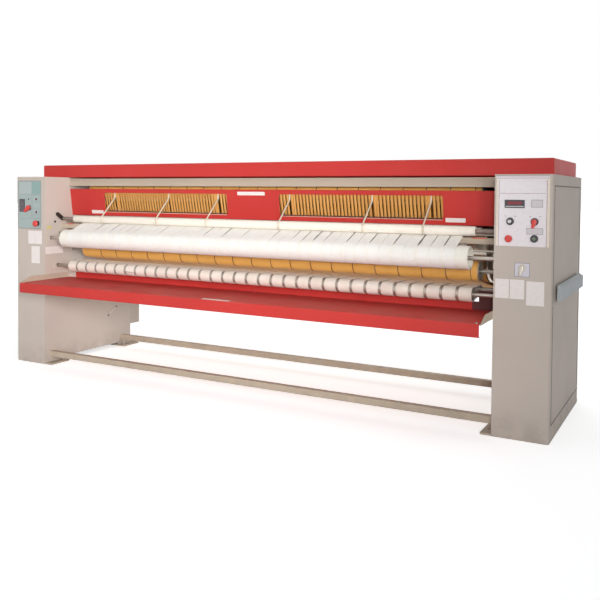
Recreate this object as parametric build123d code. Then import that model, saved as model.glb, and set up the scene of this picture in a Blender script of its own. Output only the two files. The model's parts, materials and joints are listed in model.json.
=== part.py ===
from build123d import *
import os
from math import asin, atan2, cos, degrees, hypot, pi, radians, sin, tan

# Flatwork ironer: a heated cylinder and its belts between two end cabinets.
# Frame: X along the rolls, +Y to the back, +Z up.  The origin lies on the floor, in the
# middle of the four anchor holes.  A "setback" is a distance behind the cabinet fronts.
# All sizes are in millimetres.

# ------------------------------------------------------------------ cabinets and frame
cabinet_height = 1390.0
cabinet_depth = 930.0
cabinet_width = 296.0
clear_span = 3308.0          # between the inner faces of the two side frames
skin = 2.5                   # sheet thickness of covers
corner_radius = 14.0         # folded front corner of a cabinet
frame_plate = 8.0            # side frame plate
frame_flange = 40.0
under_clearance = 30.0       # floor to the side frame, between its feet
foot_thickness = 12.0
foot_length = 180.0
foot_reach = 60.0            # foot plate inside the side frame's face
rear_foot_overhang = 36.0
anchor_hole = 9.0            # radius
anchor_inset = 32.0          # from the side frame's face
anchor_spacing = 760.0       # front to back
jack_screw_setin = 28.0      # levelling screw, from the anchor hole to the foot's end
jack_screw_radius = 8.0
jack_screw_length = 52.0
jack_nut_radius = 13.0       # to its corners
jack_nut_height = 8.0
rail_size = 40.0
rail_wall = 3.0
rail_height = 72.0
front_rail_setback = 65.0
rear_rail_setback = 828.0

access_front = 47.0          # border round the access opening in a cabinet's outer side
access_rear = 31.0
access_top = 60.0
access_bottom = 90.0
access_fit = 1.5
guard_rail_proud = 12.0      # gap between the cabinet side and the guard rail
guard_rail_height = 90.0
guard_rail_thickness = 26.0
guard_rail_edge = 6.0        # its thickness at the upper and lower edge
guard_rail_slope = 12.0      # height of the slopes above and below its flat face
guard_rail_centre = 769.0
guard_rail_setback = 100.0
guard_rail_length = 718.0

rear_box_depth = 112.0
rear_box_bottom = 167.0
rear_box_top = 1330.0

# ------------------------------------------------------------------ covers and rails
cover_setback = 231.0
cover_rear_overhang = 38.0
cover_end_inset = 38.0
cover_height = 94.0
cover_edge = 8.0
back_cover_bottom = 640.0
back_cover_fold = 25.0

top_rail_setback = 245.0
top_rail_size = 35.0
top_rail_drop = 30.0         # its upper face, below the cabinets' tops
top_bar_depth = 25.0
top_bar_thickness = 8.0
top_web_height = 12.0        # the web between the top rail and the top bar
top_web_recess = 5.0         # behind the top bar's front edge

panel_setback = 250.0        # top edge of the window panel, front face
panel_top = 1303.0
panel_bottom = 1105.0
panel_lean = 26.0            # the lower edge is this much further back
panel_fold = 16.0
window_left = (-1311.0, -216.0)      # X limits
window_right = (192.0, 1291.0)
window_bottom = 1143.0
window_top = 1275.0
window_corner = 14.0

finger_stations = (-1216.0, -716.0, -292.0, 267.0, 843.0, 1217.0)
finger_radius = 5.0
finger_gap = 8.0             # between a finger and the press roll
finger_bend = 26.0
finger_bar_gap = 8.0         # behind the window panel's front face
finger_bar_drop = 16.0       # its middle, below the panel's top
finger_bar_size = 16.0
finger_slope = 45.0
finger_curl = 42.0           # how far a finger curls under the press roll, in degrees
finger_curl_flats = 3

tape_pitch = 24.0
tape_width = 15.0
tape_thickness = 1.5
tape_bar_gap = 2.0           # behind the finger bar
tape_bar_drop = 13.0         # its middle, below the panel's top
tape_bar_size = 12.0
tape_rod_gap = 30.0          # behind the panel's lower edge
tape_rod_rise = 10.0         # above the panel's lower edge
tape_rod_radius = 5.0
tape_margin = 20.0           # tapes carry on this far past the window's ends

# ------------------------------------------------------------------ cylinder and rolls
cylinder_radius = 230.0
cylinder_wall = 8.0
cylinder_setback = 560.0
cylinder_height = 985.0
cylinder_end_gap = 124.0     # from the cylinder's end disc to the side frame
cylinder_journal = 60.0
cylinder_bore = 46.0
burner_radius = 38.0
end_disc = 10.0
journal = 12.0               # radius of the stub shafts of all rolls
stub_bore = 4.0
stub_bore_sides = 4
running_clearance = 0.05
frame_hole_clearance = 3.0   # round a shaft, where it passes through the side frame
shaft_sides = 8
roll_sides = 16
roll_wall = 4.0
cylinder_flats = 6           # short flats that a belt has round each roll
feed_flats = 4
nose_flats = 2
return_flats = 3
return_rear_flats = 2
front_lower_flats = 4
rear_lower_flats = 2
rear_top_flats = 1
top_front_flats = 3
motor_chain_flats = 5
cylinder_chain_flats = 10
roll_end_gap = 142.0         # from a roll's end disc to the side frame

# setback, height and radius of each roll's steel tube
feed_roll = (64.0, 938.0, 61.5)
nose_roll = (300.0, 1078.0, 22.0)
press_roll = (163.0, 1079.0, 27.0)
top_front_roll = (345.0, 1290.0, 45.0)
rear_top_roll = (800.0, 1275.0, 45.0)
rear_lower_roll = (850.0, 730.0, 45.0)
front_lower_roll = (286.0, 846.0, 55.0)
return_roll = (130.0, 730.0, 37.5)
return_rear_roll = (300.0, 742.0, 22.0)

belt_clearance = 0.4         # between a belt's inner face and its roll
belt_thickness = 3.0
feed_belt_count = 39
feed_belt_pitch = 74.0
feed_belt_width = 71.0
iron_belt_count = 20
iron_belt_pitch = 146.8
iron_belt_width = 143.5
return_belt_count = 33
return_belt_pitch = 92.2
return_belt_width = 74.0

bearing_width = 22.0
bearing_size = 58.0
cylinder_bearing_width = 45.0
cylinder_bearing_size = 190.0
shaft_tail = 6.0             # a stub shaft's end, past its bearing

press_pivot = (114.0, 1113.0)    # setback and height of the press roll's lever pin
lever_thickness = 14.0
lever_width = 26.0
lever_gap = 4.0              # between a lever and the side frame
lever_pin = 8.0
press_journal = 8.0          # the press roll's stub shafts

feed_takeup = (49.0, 928.0, 76.0, 78.0)      # centre setback and height, depth, height
return_takeup = (131.0, 731.0, 90.0, 46.0)
takeup_thickness = 6.0
takeup_slot = 14.0           # half the slot's width

feed_bed_front = 168.0
feed_bed_depth = 40.0
feed_bed_height = 33.0
feed_bed_top = 1042.0
feed_rods = ((150.0, 971.0, 6.0), (215.0, 1056.0, 5.0))

# ------------------------------------------------------------------ receiving tray
tray_front = 239.0           # in front of the cabinets
tray_back = 235.0
tray_top = 632.0
tray_lip = 70.0
tray_hem = 18.0
tray_back_rise = 46.0
tray_rise_end = 54.0         # the turned-up edge ends this far inside the side frames
tray_rise_cut = 30.0         # and its upper corners are cut back
tray_end_gap = 8.0
tray_bend = 7.0
bracket_plate = 4.0
bracket_rise = 36.0
bracket_ramp = 95.0
bracket_foot = 44.0

# ------------------------------------------------------------------ drive
sprocket_pitch = 25.4
sprocket_thickness = 10.0
tooth_depth = 8.0            # from the pitch circle in to a tooth's root
tooth_tip = 5.0              # and out to its tip
cylinder_teeth = 36
motor_teeth = 15
motor_setback = 400.0
motor_height = 560.0
motor_shaft = 14.0
gearbox_depth = 190.0
gearbox_height = 190.0
motor_radius = 75.0
motor_length = 240.0
chain_thickness = 9.0
chain_width = 8.0

# ------------------------------------------------------------------ controls
panel_proud = 3.0
panel_rim = 7.0
panel_recess = 1.0
right_panel = (1674.0, 1922.0, 1016.0, 1357.0)    # X and Z limits, right cabinet
left_panel = (-1929.0, -1689.0, 1003.0, 1361.0)
right_display = (1708.0, 1810.0, 1215.0, 1257.0)
left_display = (-1914.0, -1860.0, 1128.0, 1224.0)
display_proud = 5.0
lamp_places = ((-1740.0, 1224.0), (-1740.0, 1128.0))
lamp_radius = 11.0
selector_place = (1737.0, 1145.0)
mode_place = (1861.0, 1145.0)
stop_place = (1732.0, 1055.0)
start_place = (1861.0, 1058.0)
main_switch_place = (-1813.0, 1160.0)
emergency_place = (-1727.0, 1044.0)
speed_place = (1802.0, 905.0)
speed_plate_size = (78.0, 73.0)
speed_plate_drop = 11.0      # the plate's middle below the lever's spindle
control_head = 19.0
start_head = 17.0
control_stem = 7.0
control_fit = 0.3
control_sleeve = 11.0
bezel_radius = 20.0
bezel_proud = 5.0
button_travel = 4.0
button_height = 10.0
control_sides = 20
skirt_height = 7.0
grip_width = 10.0
grip_height = 11.0
mode_lever_size = (13.0, 31.0, 5.0, 12.0, 13.0)    # hub, reach, tip, thickness, tilt
main_lever_size = (17.0, 38.0, 9.0, 16.0, 50.0)
speed_lever_size = (11.0, 34.0, 9.0, 10.0, 16.0)
mushroom_radius = 25.0
mushroom_neck = 9.0
mushroom_depth = 14.0
block_depth = 30.0

# ------------------------------------------------------------------ places worked out
inner_x = clear_span / 2
outer_x = inner_x + cabinet_width
front_y = -cabinet_depth / 2
rear_y = cabinet_depth / 2
frame_top = cabinet_height - skin
frame_back = inner_x + frame_plate
roll_half_face = inner_x - roll_end_gap
cylinder_half_face = inner_x - cylinder_end_gap
panel_rise = panel_top - panel_bottom
panel_angle = degrees(atan2(panel_lean, panel_rise))
panel_length = hypot(panel_rise, panel_lean)
finger_bar_setback = panel_setback + finger_bar_gap + finger_bar_size / 2
finger_bar_height = panel_top - finger_bar_drop
tape_bar_setback = (finger_bar_setback + finger_bar_size / 2 + tape_bar_gap
                    + tape_bar_size / 2)
tape_bar_height = panel_top - tape_bar_drop
tape_rod_setback = panel_setback + panel_lean + tape_rod_gap
tape_rod_height = panel_bottom + tape_rod_rise
journal_end = frame_back + bearing_width + shaft_tail
chain_x = frame_back + cylinder_bearing_width + 2 * shaft_tail
cylinder_end = chain_x + sprocket_thickness + shaft_tail

os.makedirs("parts", exist_ok=True)


def ship(name, *solids):
    """Write one sub-part's STEP file; several solids stay separate in it."""
    shape = solids[0] if len(solids) == 1 else Compound(children=list(solids))
    shape.label = name
    export_step(shape, f"parts/{name}.step")


def back(setback):
    """The Y of a point that lies `setback` behind the cabinet fronts."""
    return front_y + setback


def bar(x0, x1, y0, y1, z0, z1):
    """A rectangular block between the given limits."""
    middle = Pos((x0 + x1) / 2, (y0 + y1) / 2, (z0 + z1) / 2)
    return middle * Box(x1 - x0, y1 - y0, z1 - z0)


def many_sided(radius, sides):
    """A near-round outline that stays inside a circle, for stock that repeats or is hidden."""
    return RegularPolygon(radius, sides, rotation=180 / sides)


def bore_outline(radius, sides):
    """A near-round outline that stays outside a circle, for the bore round such stock."""
    return RegularPolygon(radius, sides, major_radius=False)


def prism_x(outline, x0, x1, y, z):
    """An outline pushed along X from x0 to x1."""
    return extrude(Plane((x0, y, z), x_dir=(0, 1, 0), z_dir=(1, 0, 0)) * outline, x1 - x0)


def prism_y(outline, y0, y1, x, z):
    """An outline pushed along Y from y0 to y1."""
    return extrude(Plane((x, y1, z), x_dir=(1, 0, 0), z_dir=(0, -1, 0)) * outline, y1 - y0)


def rounded_link(reach, radius, end_radius):
    """The outline of a link: a large end at the origin, a small end `reach` below it."""
    ends = [*many_sided(radius, roll_sides).edges(),
            *(Pos(0, -reach) * many_sided(end_radius, roll_sides)).edges()]
    return make_hull(ends)


def side_plate(points, x0, x1):
    """A plate with the outline (y, z) `points`, from x0 to x1."""
    outline = Plane.YZ.offset(x0) * make_face(Polyline(*points, close=True))
    return extrude(outline, x1 - x0)


def on_side(sign, shape):
    """A right-hand shape as it is, or mirrored to the left."""
    return shape if sign > 0 else mirror(shape, Plane.YZ)


# ------------------------------------------------------------------ belts round rolls
def belt_corners(wheels, lift):
    """Corners (y, z) of a closed belt, `lift` above its inner face.

    Each wheel is (y, z, radius, flats), in the order that the belt meets them going
    anticlockwise.  A belt bears with its outer face on a wheel of negative radius.  On each
    wheel the belt is laid in as many short flats, all tangent to the wheel.
    """
    reach = []
    for y, z, radius, flats in wheels:
        outer_face = belt_thickness - lift
        reach.append(radius + belt_clearance + lift if radius > 0
                     else radius - belt_clearance - outer_face)
    heading = []
    for i in range(len(wheels)):
        j = (i + 1) % len(wheels)
        dy = wheels[j][0] - wheels[i][0]
        dz = wheels[j][1] - wheels[i][1]
        heading.append(atan2(dz, dy) - asin((reach[j] - reach[i]) / hypot(dy, dz)))
    corners = []
    for i, (y, z, radius, flats) in enumerate(wheels):
        turn = (heading[i] - heading[i - 1]) % (2 * pi)
        if radius < 0:
            turn -= 2 * pi
        step = turn / flats
        corner_reach = reach[i] / cos(step / 2)
        for k in range(flats):
            angle = heading[i - 1] + (k + 0.5) * step
            corners.append((y + corner_reach * sin(angle), z - corner_reach * cos(angle)))
    return corners


def belt_set(wheels, count, pitch, width):
    """`count` belts side by side round the same wheels."""
    outer = make_face(Polyline(*belt_corners(wheels, belt_thickness), close=True))
    inner = make_face(Polyline(*belt_corners(wheels, 0.0), close=True))
    first_x = -count * pitch / 2 + (pitch - width) / 2
    belt = extrude(Plane.YZ.offset(first_x) * (outer - inner), width)
    return [Pos(i * pitch, 0, 0) * belt for i in range(count)]


def wheel(roll, flats):
    """A roll as a wheel for a belt."""
    setback, height, radius = roll
    return (back(setback), height, radius, flats)


cylinder_wheel = (back(cylinder_setback), cylinder_height, -cylinder_radius,
                  cylinder_flats)
feed_path = [wheel(feed_roll, feed_flats), wheel(nose_roll, nose_flats)]
return_path = [wheel(return_roll, return_flats), wheel(return_rear_roll, return_rear_flats)]
iron_path = [wheel(front_lower_roll, front_lower_flats),
             wheel(rear_lower_roll, rear_lower_flats),
             wheel(rear_top_roll, rear_top_flats),
             wheel(top_front_roll, top_front_flats), cylinder_wheel]


# ------------------------------------------------------------------ side frames and feet
def roll_holes():
    """The holes that a side frame has for the rolls' stub shafts and the lever's pin."""
    rolls = (feed_roll, nose_roll, top_front_roll, rear_top_roll, rear_lower_roll,
             front_lower_roll, return_roll, return_rear_roll)
    clear = bore_outline(journal + frame_hole_clearance, shaft_sides)
    x0, x1 = inner_x - 1, frame_back + 1
    holes = [prism_x(clear, x0, x1, back(r[0]), r[1]) for r in rolls]
    big = bore_outline(cylinder_journal + frame_hole_clearance, roll_sides)
    holes.append(prism_x(big, x0, x1, back(cylinder_setback), cylinder_height))
    pin = bore_outline(lever_pin + running_clearance, shaft_sides)
    holes.append(prism_x(pin, x0, x1, back(press_pivot[0]), press_pivot[1]))
    return holes


def side_frame(sign):
    """The inner structural plate of a cabinet, with outward flanges and two feet."""
    front = front_y + skin
    notch_front = back(foot_length)
    notch_rear = rear_y - foot_length + rear_foot_overhang
    outline = [(front, foot_thickness), (notch_front, foot_thickness),
               (notch_front, under_clearance), (notch_rear, under_clearance),
               (notch_rear, foot_thickness), (rear_y, foot_thickness),
               (rear_y, frame_top), (front, frame_top)]
    plate = side_plate(outline, inner_x, frame_back)
    flange_end = inner_x + frame_flange
    plate += bar(inner_x, flange_end, front, front + frame_plate, foot_thickness, frame_top)
    plate += bar(inner_x, flange_end, rear_y - frame_plate, rear_y, foot_thickness, frame_top)
    plate += bar(inner_x, flange_end, front, rear_y, frame_top - frame_plate, frame_top)
    for hole in roll_holes():
        plate -= hole
    return on_side(sign, plate)


def rounded_front_corner(block, radius):
    """A block with its outer front edge rounded."""
    box = block.bounding_box()
    corner = [e for e in block.edges().filter_by(Axis.Z)
              if e.center().X > box.max.X - 1 and e.center().Y < box.min.Y + 1]
    return fillet(corner, radius)


def foot_plate(x_sign, y_sign):
    """A floor plate under one end of a side frame, with its anchor hole."""
    hole_y = y_sign * anchor_spacing / 2
    if y_sign < 0:
        y0, y1 = front_y + skin, back(foot_length)
        jack_y = y1 - jack_screw_setin
    else:
        y0, y1 = rear_y - foot_length + rear_foot_overhang, rear_y + rear_foot_overhang
        jack_y = y0 + jack_screw_setin
    plate = bar(inner_x - foot_reach, outer_x - skin, y0, y1, 0, foot_thickness)
    if y_sign < 0:
        plate = rounded_front_corner(plate, corner_radius)
    hole_x = inner_x - anchor_inset
    plate -= Pos(hole_x, hole_y, foot_thickness / 2) * Cylinder(anchor_hole, 3 * foot_thickness)
    tapped = bore_outline(jack_screw_radius + running_clearance, shaft_sides)
    plate -= Pos(hole_x, jack_y, -1) * extrude(tapped, 2 * foot_thickness)
    shank = extrude(many_sided(jack_screw_radius, shaft_sides), jack_screw_length)
    head = Pos(0, 0, jack_screw_length - jack_nut_height) * extrude(
        many_sided(jack_nut_radius, 6), jack_nut_height)
    screw = Pos(hole_x, jack_y, 0) * (shank + head)
    return on_side(x_sign, plate), on_side(x_sign, screw)


def floor_rail(setback):
    """A square tube between the two side frames."""
    half = rail_size / 2
    y = back(setback)
    tube = bar(-inner_x, inner_x, y - half, y + half, rail_height - half, rail_height + half)
    core = half - rail_wall
    return tube - bar(-inner_x, inner_x, y - core, y + core,
                      rail_height - core, rail_height + core)


# ------------------------------------------------------------------ cabinet covers
access_opening = (back(access_front), rear_y - access_rear, access_bottom,
                  cabinet_height - access_top)


def control_places(sign):
    """Where the spindles of one cabinet's controls pass through its front."""
    right = (selector_place, mode_place, stop_place, start_place, speed_place)
    left = (main_switch_place, emergency_place)
    return right if sign > 0 else left


def sleeve_hole(x, z):
    """The square hole in the front sheet and the panel for one control."""
    return bar(x - control_sleeve, x + control_sleeve, front_y - 2 * panel_proud,
               front_y + 2 * skin, z - control_sleeve, z + control_sleeve)


def cabinet_shell(sign):
    """Front, top and outer side of a cabinet, folded from one sheet."""
    body = bar(inner_x, outer_x, front_y, rear_y, 0, cabinet_height)
    body = rounded_front_corner(body, corner_radius)
    inside = bar(inner_x - 1, outer_x - skin, front_y + skin, rear_y + 1, -1,
                 cabinet_height - skin)
    body -= rounded_front_corner(inside, corner_radius - skin)
    y0, y1, z0, z1 = access_opening
    body -= bar(outer_x - 2 * skin, outer_x + 1, y0, y1, z0, z1)
    body = on_side(sign, body)
    for x, z in control_places(sign):
        body -= sleeve_hole(x, z)
    return body


def access_panel(sign):
    """The removable panel that fills the opening in a cabinet's outer side."""
    y0, y1, z0, z1 = access_opening
    leaf = bar(outer_x - skin, outer_x, y0 + access_fit, y1 - access_fit,
               z0 + access_fit, z1 - access_fit)
    lap = 12.0
    backing = bar(outer_x - 2 * skin, outer_x - skin, y0 - lap, y1 + lap, z0 - lap, z1 + lap)
    return on_side(sign, leaf + backing)


def rear_cover():
    """The flat cover over the back of the right cabinet."""
    fold = 16.0
    x0 = inner_x + frame_flange
    x1 = outer_x - skin
    z0 = under_clearance
    z1 = frame_top
    pan = bar(x0, x1, rear_y - fold, rear_y, z0, z1)
    return pan - bar(x0 + skin, x1 - skin, rear_y - fold - 1, rear_y - skin, z0 + skin,
                     z1 - skin)


def rear_housing():
    """The deep box behind the left cabinet, open towards it."""
    y1 = rear_y + rear_box_depth
    box = bar(-outer_x, -inner_x, rear_y, y1, rear_box_bottom, rear_box_top)
    box -= bar(-outer_x + skin, -inner_x - skin, rear_y - 1, y1 - skin,
               rear_box_bottom + skin, rear_box_top - skin)
    return box


def top_cover():
    """The long hood over both cabinets, open underneath."""
    half = outer_x - cover_end_inset
    y0 = back(cover_setback)
    y1 = rear_y + cover_rear_overhang
    z0 = cabinet_height
    z1 = z0 + cover_height
    hood = bar(-half, half, y0, y1, z0, z1)
    hood = fillet(hood.faces().sort_by(Axis.Z)[-1].edges(), cover_edge)
    return hood - bar(-half + skin, half - skin, y0 + skin, y1 - skin, z0 - 1, z1 - skin)


def back_cover():
    """The sheet that closes the back between the cabinets, folded in at top and bottom."""
    z0 = back_cover_bottom
    z1 = frame_top
    sheet = bar(-inner_x, inner_x, rear_y - skin, rear_y, z0, z1)
    for z in (z0, z1 - skin):
        sheet += bar(-inner_x, inner_x, rear_y - back_cover_fold, rear_y, z, z + skin)
    return sheet


def guard_rail():
    """The rubbing rail that stands off the right cabinet's outer side, on two posts."""
    x0 = outer_x + guard_rail_proud
    half = guard_rail_height / 2
    y0 = back(guard_rail_setback)
    y1 = y0 + guard_rail_length
    outline = make_face(Polyline(
        (0, -half), (guard_rail_edge, -half),
        (guard_rail_thickness, guard_rail_slope - half),
        (guard_rail_thickness, half - guard_rail_slope),
        (guard_rail_edge, half), (0, half), close=True))
    rail = prism_y(outline, y0, y1, x0, guard_rail_centre)
    post_width = 40.0
    post_inset = 60.0
    for y in (y0 + post_inset, y1 - post_inset - post_width):
        rail += bar(outer_x, x0, y, y + post_width, guard_rail_centre - half / 2,
                    guard_rail_centre + half / 2)
    return rail


# ------------------------------------------------------------------ window panel
def panel_place(shape):
    """Stand a shape that is drawn with the panel's top front edge at the origin."""
    return Pos(0, back(panel_setback), panel_top) * Rot(panel_angle, 0, 0) * shape


def window_panel():
    """The leaning front panel with its two long windows."""
    sheet = bar(-inner_x, inner_x, 0, skin, -panel_length, 0)
    for z in (-skin, -panel_length):
        sheet += bar(-inner_x, inner_x, 0, panel_fold, z, z + skin)
    height = (window_top - window_bottom) / cos(radians(panel_angle))
    drop = (panel_top - (window_top + window_bottom) / 2) / cos(radians(panel_angle))
    for x0, x1 in (window_left, window_right):
        hole = Box(x1 - x0, 6 * skin, height)
        hole = fillet(hole.edges().filter_by(Axis.Y), window_corner)
        sheet -= Pos((x0 + x1) / 2, 0, -drop) * hole
    return panel_place(sheet)


# ------------------------------------------------------------------ bars behind the windows
tape_top = (back(tape_bar_setback) + tape_bar_size / 2, tape_bar_height)
tape_foot = (back(tape_rod_setback) - tape_rod_radius - 1.1 * tape_thickness, tape_rod_height)


def guide_tapes():
    """Narrow tapes from the upper bar to the lower rod, behind both windows."""
    (y0, z0), (y1, z1) = tape_top, tape_foot
    along = atan2(z1 - z0, y1 - y0)
    ny, nz = -sin(along) * tape_thickness, cos(along) * tape_thickness
    outline = [(y0, z0), (y1, z1), (y1 + ny, z1 + nz), (y0 + ny, z0 + nz)]
    tape = side_plate(outline, -tape_width / 2, tape_width / 2)
    tapes = []
    for x0, x1 in (window_left, window_right):
        count = int((x1 - x0 + 2 * tape_margin) // tape_pitch) + 1
        start = (x0 + x1) / 2 - (count - 1) * tape_pitch / 2
        tapes += [Pos(start + i * tape_pitch, 0, 0) * tape for i in range(count)]
    return tapes


def tape_bars():
    """The square bar and the round rod that the tapes are stretched between."""
    half = tape_bar_size / 2
    y = back(tape_bar_setback)
    upper = bar(-inner_x, inner_x, y - half, y + half, tape_bar_height - half,
                tape_bar_height + half)
    lower = prism_x(many_sided(tape_rod_radius, shaft_sides), -inner_x, inner_x,
                    back(tape_rod_setback), tape_rod_height)
    return upper, lower


finger_y = back(finger_bar_setback)
press_y = back(press_roll[0])
finger_wrap = press_roll[2] + finger_gap + finger_radius


def finger():
    """A bent rod: down from its bar, forward over the press roll and round its front."""
    slope = radians(finger_slope)
    touch_y = press_y - finger_wrap * sin(slope)
    touch_z = press_roll[1] + finger_wrap * cos(slope)
    corner_z = touch_z + (finger_y - touch_y) * tan(slope)
    setback = finger_bend * tan((pi / 2 - slope) / 2)
    points = [(finger_y, finger_bar_height + finger_bar_size / 2),
              (finger_y, corner_z + setback),
              (finger_y - setback * cos(slope), corner_z - setback * sin(slope))]
    step = radians(90 - finger_slope + finger_curl) / finger_curl_flats
    reach = finger_wrap / cos(step / 2)
    for k in range(finger_curl_flats):
        angle = pi / 2 + slope + (k + 0.5) * step
        points.append((press_y + reach * cos(angle), press_roll[1] + reach * sin(angle)))
    angle += step / 2
    points.append((press_y + finger_wrap * cos(angle), press_roll[1] + finger_wrap * sin(angle)))
    path = Plane.YZ * Polyline(*points)
    start = Plane((0, *points[0]), z_dir=(0, 0, -1))
    return sweep(start * many_sided(finger_radius, 6), path=path, transition=Transition.RIGHT)


def finger_bar():
    """The bar that carries the fingers, with a bore for each."""
    half = finger_bar_size / 2
    beam = bar(-inner_x, inner_x, finger_y - half, finger_y + half,
               finger_bar_height - half, finger_bar_height + half)
    bore = extrude(bore_outline(finger_radius + running_clearance, 6), 2 * finger_bar_size)
    for x in finger_stations:
        beam -= Pos(x, finger_y, finger_bar_height - finger_bar_size) * bore
    return beam


# ------------------------------------------------------------------ rolls and bearings
def roll(place, reach, stub=journal, round_face=False):
    """A tube with end discs and drilled stub shafts that reach out to `reach`."""
    setback, height, radius = place
    outside = Circle(radius) if round_face else many_sided(radius, roll_sides)
    cavity = many_sided(radius - roll_wall / 3, shaft_sides)
    inside = roll_half_face - end_disc
    tube = prism_x(outside, -roll_half_face, roll_half_face, 0, 0)
    tube += prism_x(many_sided(stub, shaft_sides), -reach, reach, 0, 0)
    tube -= prism_x(cavity, -inside, inside, 0, 0)
    tube -= prism_x(many_sided(stub_bore, stub_bore_sides), -reach - 1, reach + 1, 0, 0)
    return Pos(0, back(setback), height) * tube


def ironing_cylinder():
    """The heated cylinder: a wide tube with end discs and hollow journals."""
    inside = cylinder_half_face - end_disc
    tube = prism_x(Circle(cylinder_radius), -cylinder_half_face, cylinder_half_face, 0, 0)
    tube += prism_x(many_sided(cylinder_journal, roll_sides), -cylinder_end, cylinder_end, 0, 0)
    tube -= prism_x(many_sided(cylinder_radius - cylinder_wall / 3, roll_sides),
                    -inside, inside, 0, 0)
    tube -= prism_x(many_sided(cylinder_bore, roll_sides), -cylinder_end - 1,
                    cylinder_end + 1, 0, 0)
    return Pos(0, back(cylinder_setback), cylinder_height) * tube


def bearing(place, stub, sides, size, width):
    """A square bearing block on the cabinet side of a side frame."""
    y, z = back(place[0]), place[1]
    half = size / 2
    block = bar(frame_back, frame_back + width, y - half, y + half, z - half, z + half)
    bore = bore_outline(stub + running_clearance, sides)
    return block - prism_x(bore, frame_back - 1, frame_back + width + 1, y, z)


def press_lever(sign):
    """The link that carries one end of the press roll, with its pivot pin."""
    y0, z0 = back(press_pivot[0]), press_pivot[1]
    y1, z1 = press_y, press_roll[1]
    reach = hypot(y1 - y0, z1 - z0)
    tilt = degrees(atan2(z1 - z0, y1 - y0))
    x0 = inner_x - lever_gap - lever_thickness
    outline = Rot(0, 0, tilt + 90) * rounded_link(reach, lever_width / 2, lever_width / 2)
    link = prism_x(outline, x0, inner_x - lever_gap, y0, z0)
    bore = bore_outline(press_journal + running_clearance, shaft_sides)
    link -= prism_x(bore, x0 - 1, inner_x, y1, z1)
    link += prism_x(many_sided(lever_pin, shaft_sides), x0, frame_back + shaft_tail, y0, z0)
    return on_side(sign, link)


def takeup(place, roll_place, open_front, sign):
    """A slotted plate on the side frame, in which a stub shaft is adjusted."""
    setback, height, depth, rise = place
    y, z = back(setback), height
    plate = bar(inner_x - takeup_thickness, inner_x, y - depth / 2, y + depth / 2,
                z - rise / 2, z + rise / 2)
    x0, x1 = inner_x - 2 * takeup_thickness, inner_x + 1
    roll_y, roll_z = back(roll_place[0]), roll_place[1]
    plate -= prism_x(bore_outline(takeup_slot, shaft_sides), x0, x1, roll_y, roll_z)
    slot_end = y - depth / 2 - 1 if open_front else roll_y - 2 * takeup_slot
    plate -= bar(x0, x1, slot_end, roll_y, roll_z - takeup_slot, roll_z + takeup_slot)
    return on_side(sign, plate)


# ------------------------------------------------------------------ tray
def tray():
    """The receiving tray: flat top, lip folded down and hemmed, back edge turned up."""
    half = inner_x - tray_end_gap
    y0, y1 = front_y - tray_front, back(tray_back)
    low = tray_top - tray_lip
    high = tray_top + tray_back_rise
    outline = [(y0, low), (y0 + tray_hem, low), (y0 + tray_hem, low + skin),
               (y0 + skin, low + skin), (y0 + skin, tray_top - skin),
               (y1, tray_top - skin), (y1, tray_top), (y0, tray_top)]
    sheet = side_plate(outline, -half, half)
    bends = [e for e in sheet.edges().filter_by(Axis.X) if e.center().Y < y0 + 0.1]
    sheet = fillet(bends, tray_bend)
    low_end = inner_x - tray_rise_end
    high_end = low_end - tray_rise_cut
    rise = make_face(Polyline((-low_end, tray_top), (low_end, tray_top), (high_end, high),
                              (-high_end, high), close=True))
    return sheet + prism_y(rise, y1 - skin, y1, 0, 0)


def tray_bracket(sign):
    """The upright end plate of the tray, with a foot that carries the tray's edge."""
    foot_top = tray_top - skin
    y0, y1 = front_y - tray_front + skin, back(tray_back)
    outline = [(y0, foot_top - bracket_plate), (y1, foot_top - bracket_plate),
               (y1, tray_top + bracket_rise), (y0 + bracket_ramp, tray_top + bracket_rise),
               (y0, foot_top)]
    plate = side_plate(outline, inner_x - bracket_plate, inner_x)
    plate += bar(inner_x - bracket_foot, inner_x, y0, y1, foot_top - bracket_plate, foot_top)
    return on_side(sign, plate)


# ------------------------------------------------------------------ burner
def burner():
    """The burner pipe inside the cylinder, on a bracket that straddles the left bearing."""
    y, z = back(cylinder_setback), cylinder_height
    x0 = -cylinder_end - 2 * shaft_tail
    pipe = prism_x(many_sided(burner_radius, roll_sides), x0, cylinder_half_face, y, z)
    arm_in = cylinder_bearing_size / 2 + shaft_tail
    arm_out = arm_in + end_disc
    pipe += bar(x0 - end_disc, x0, y - arm_out, y + arm_out, z - burner_radius,
                z + burner_radius)
    for side in (-1, 1):
        middle = y + side * (arm_in + arm_out) / 2
        pipe += bar(x0, -frame_back, middle - end_disc / 2, middle + end_disc / 2,
                    z - burner_radius, z + burner_radius)
    return pipe


# ------------------------------------------------------------------ drive in the right cabinet
def sprocket_radius(teeth):
    return sprocket_pitch / (2 * sin(pi / teeth))


def sprocket(teeth, bore, y, z):
    """A roller-chain sprocket with pointed teeth."""
    pitch_radius = sprocket_radius(teeth)
    root = pitch_radius - tooth_depth
    tip = pitch_radius + tooth_tip
    points = []
    for i in range(2 * teeth):
        radius = tip if i % 2 else root
        angle = pi * i / teeth
        points.append((radius * cos(angle), radius * sin(angle)))
    disc = make_face(Polyline(*points, close=True)) - bore
    return prism_x(disc, chain_x, chain_x + sprocket_thickness, y, z)


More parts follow.
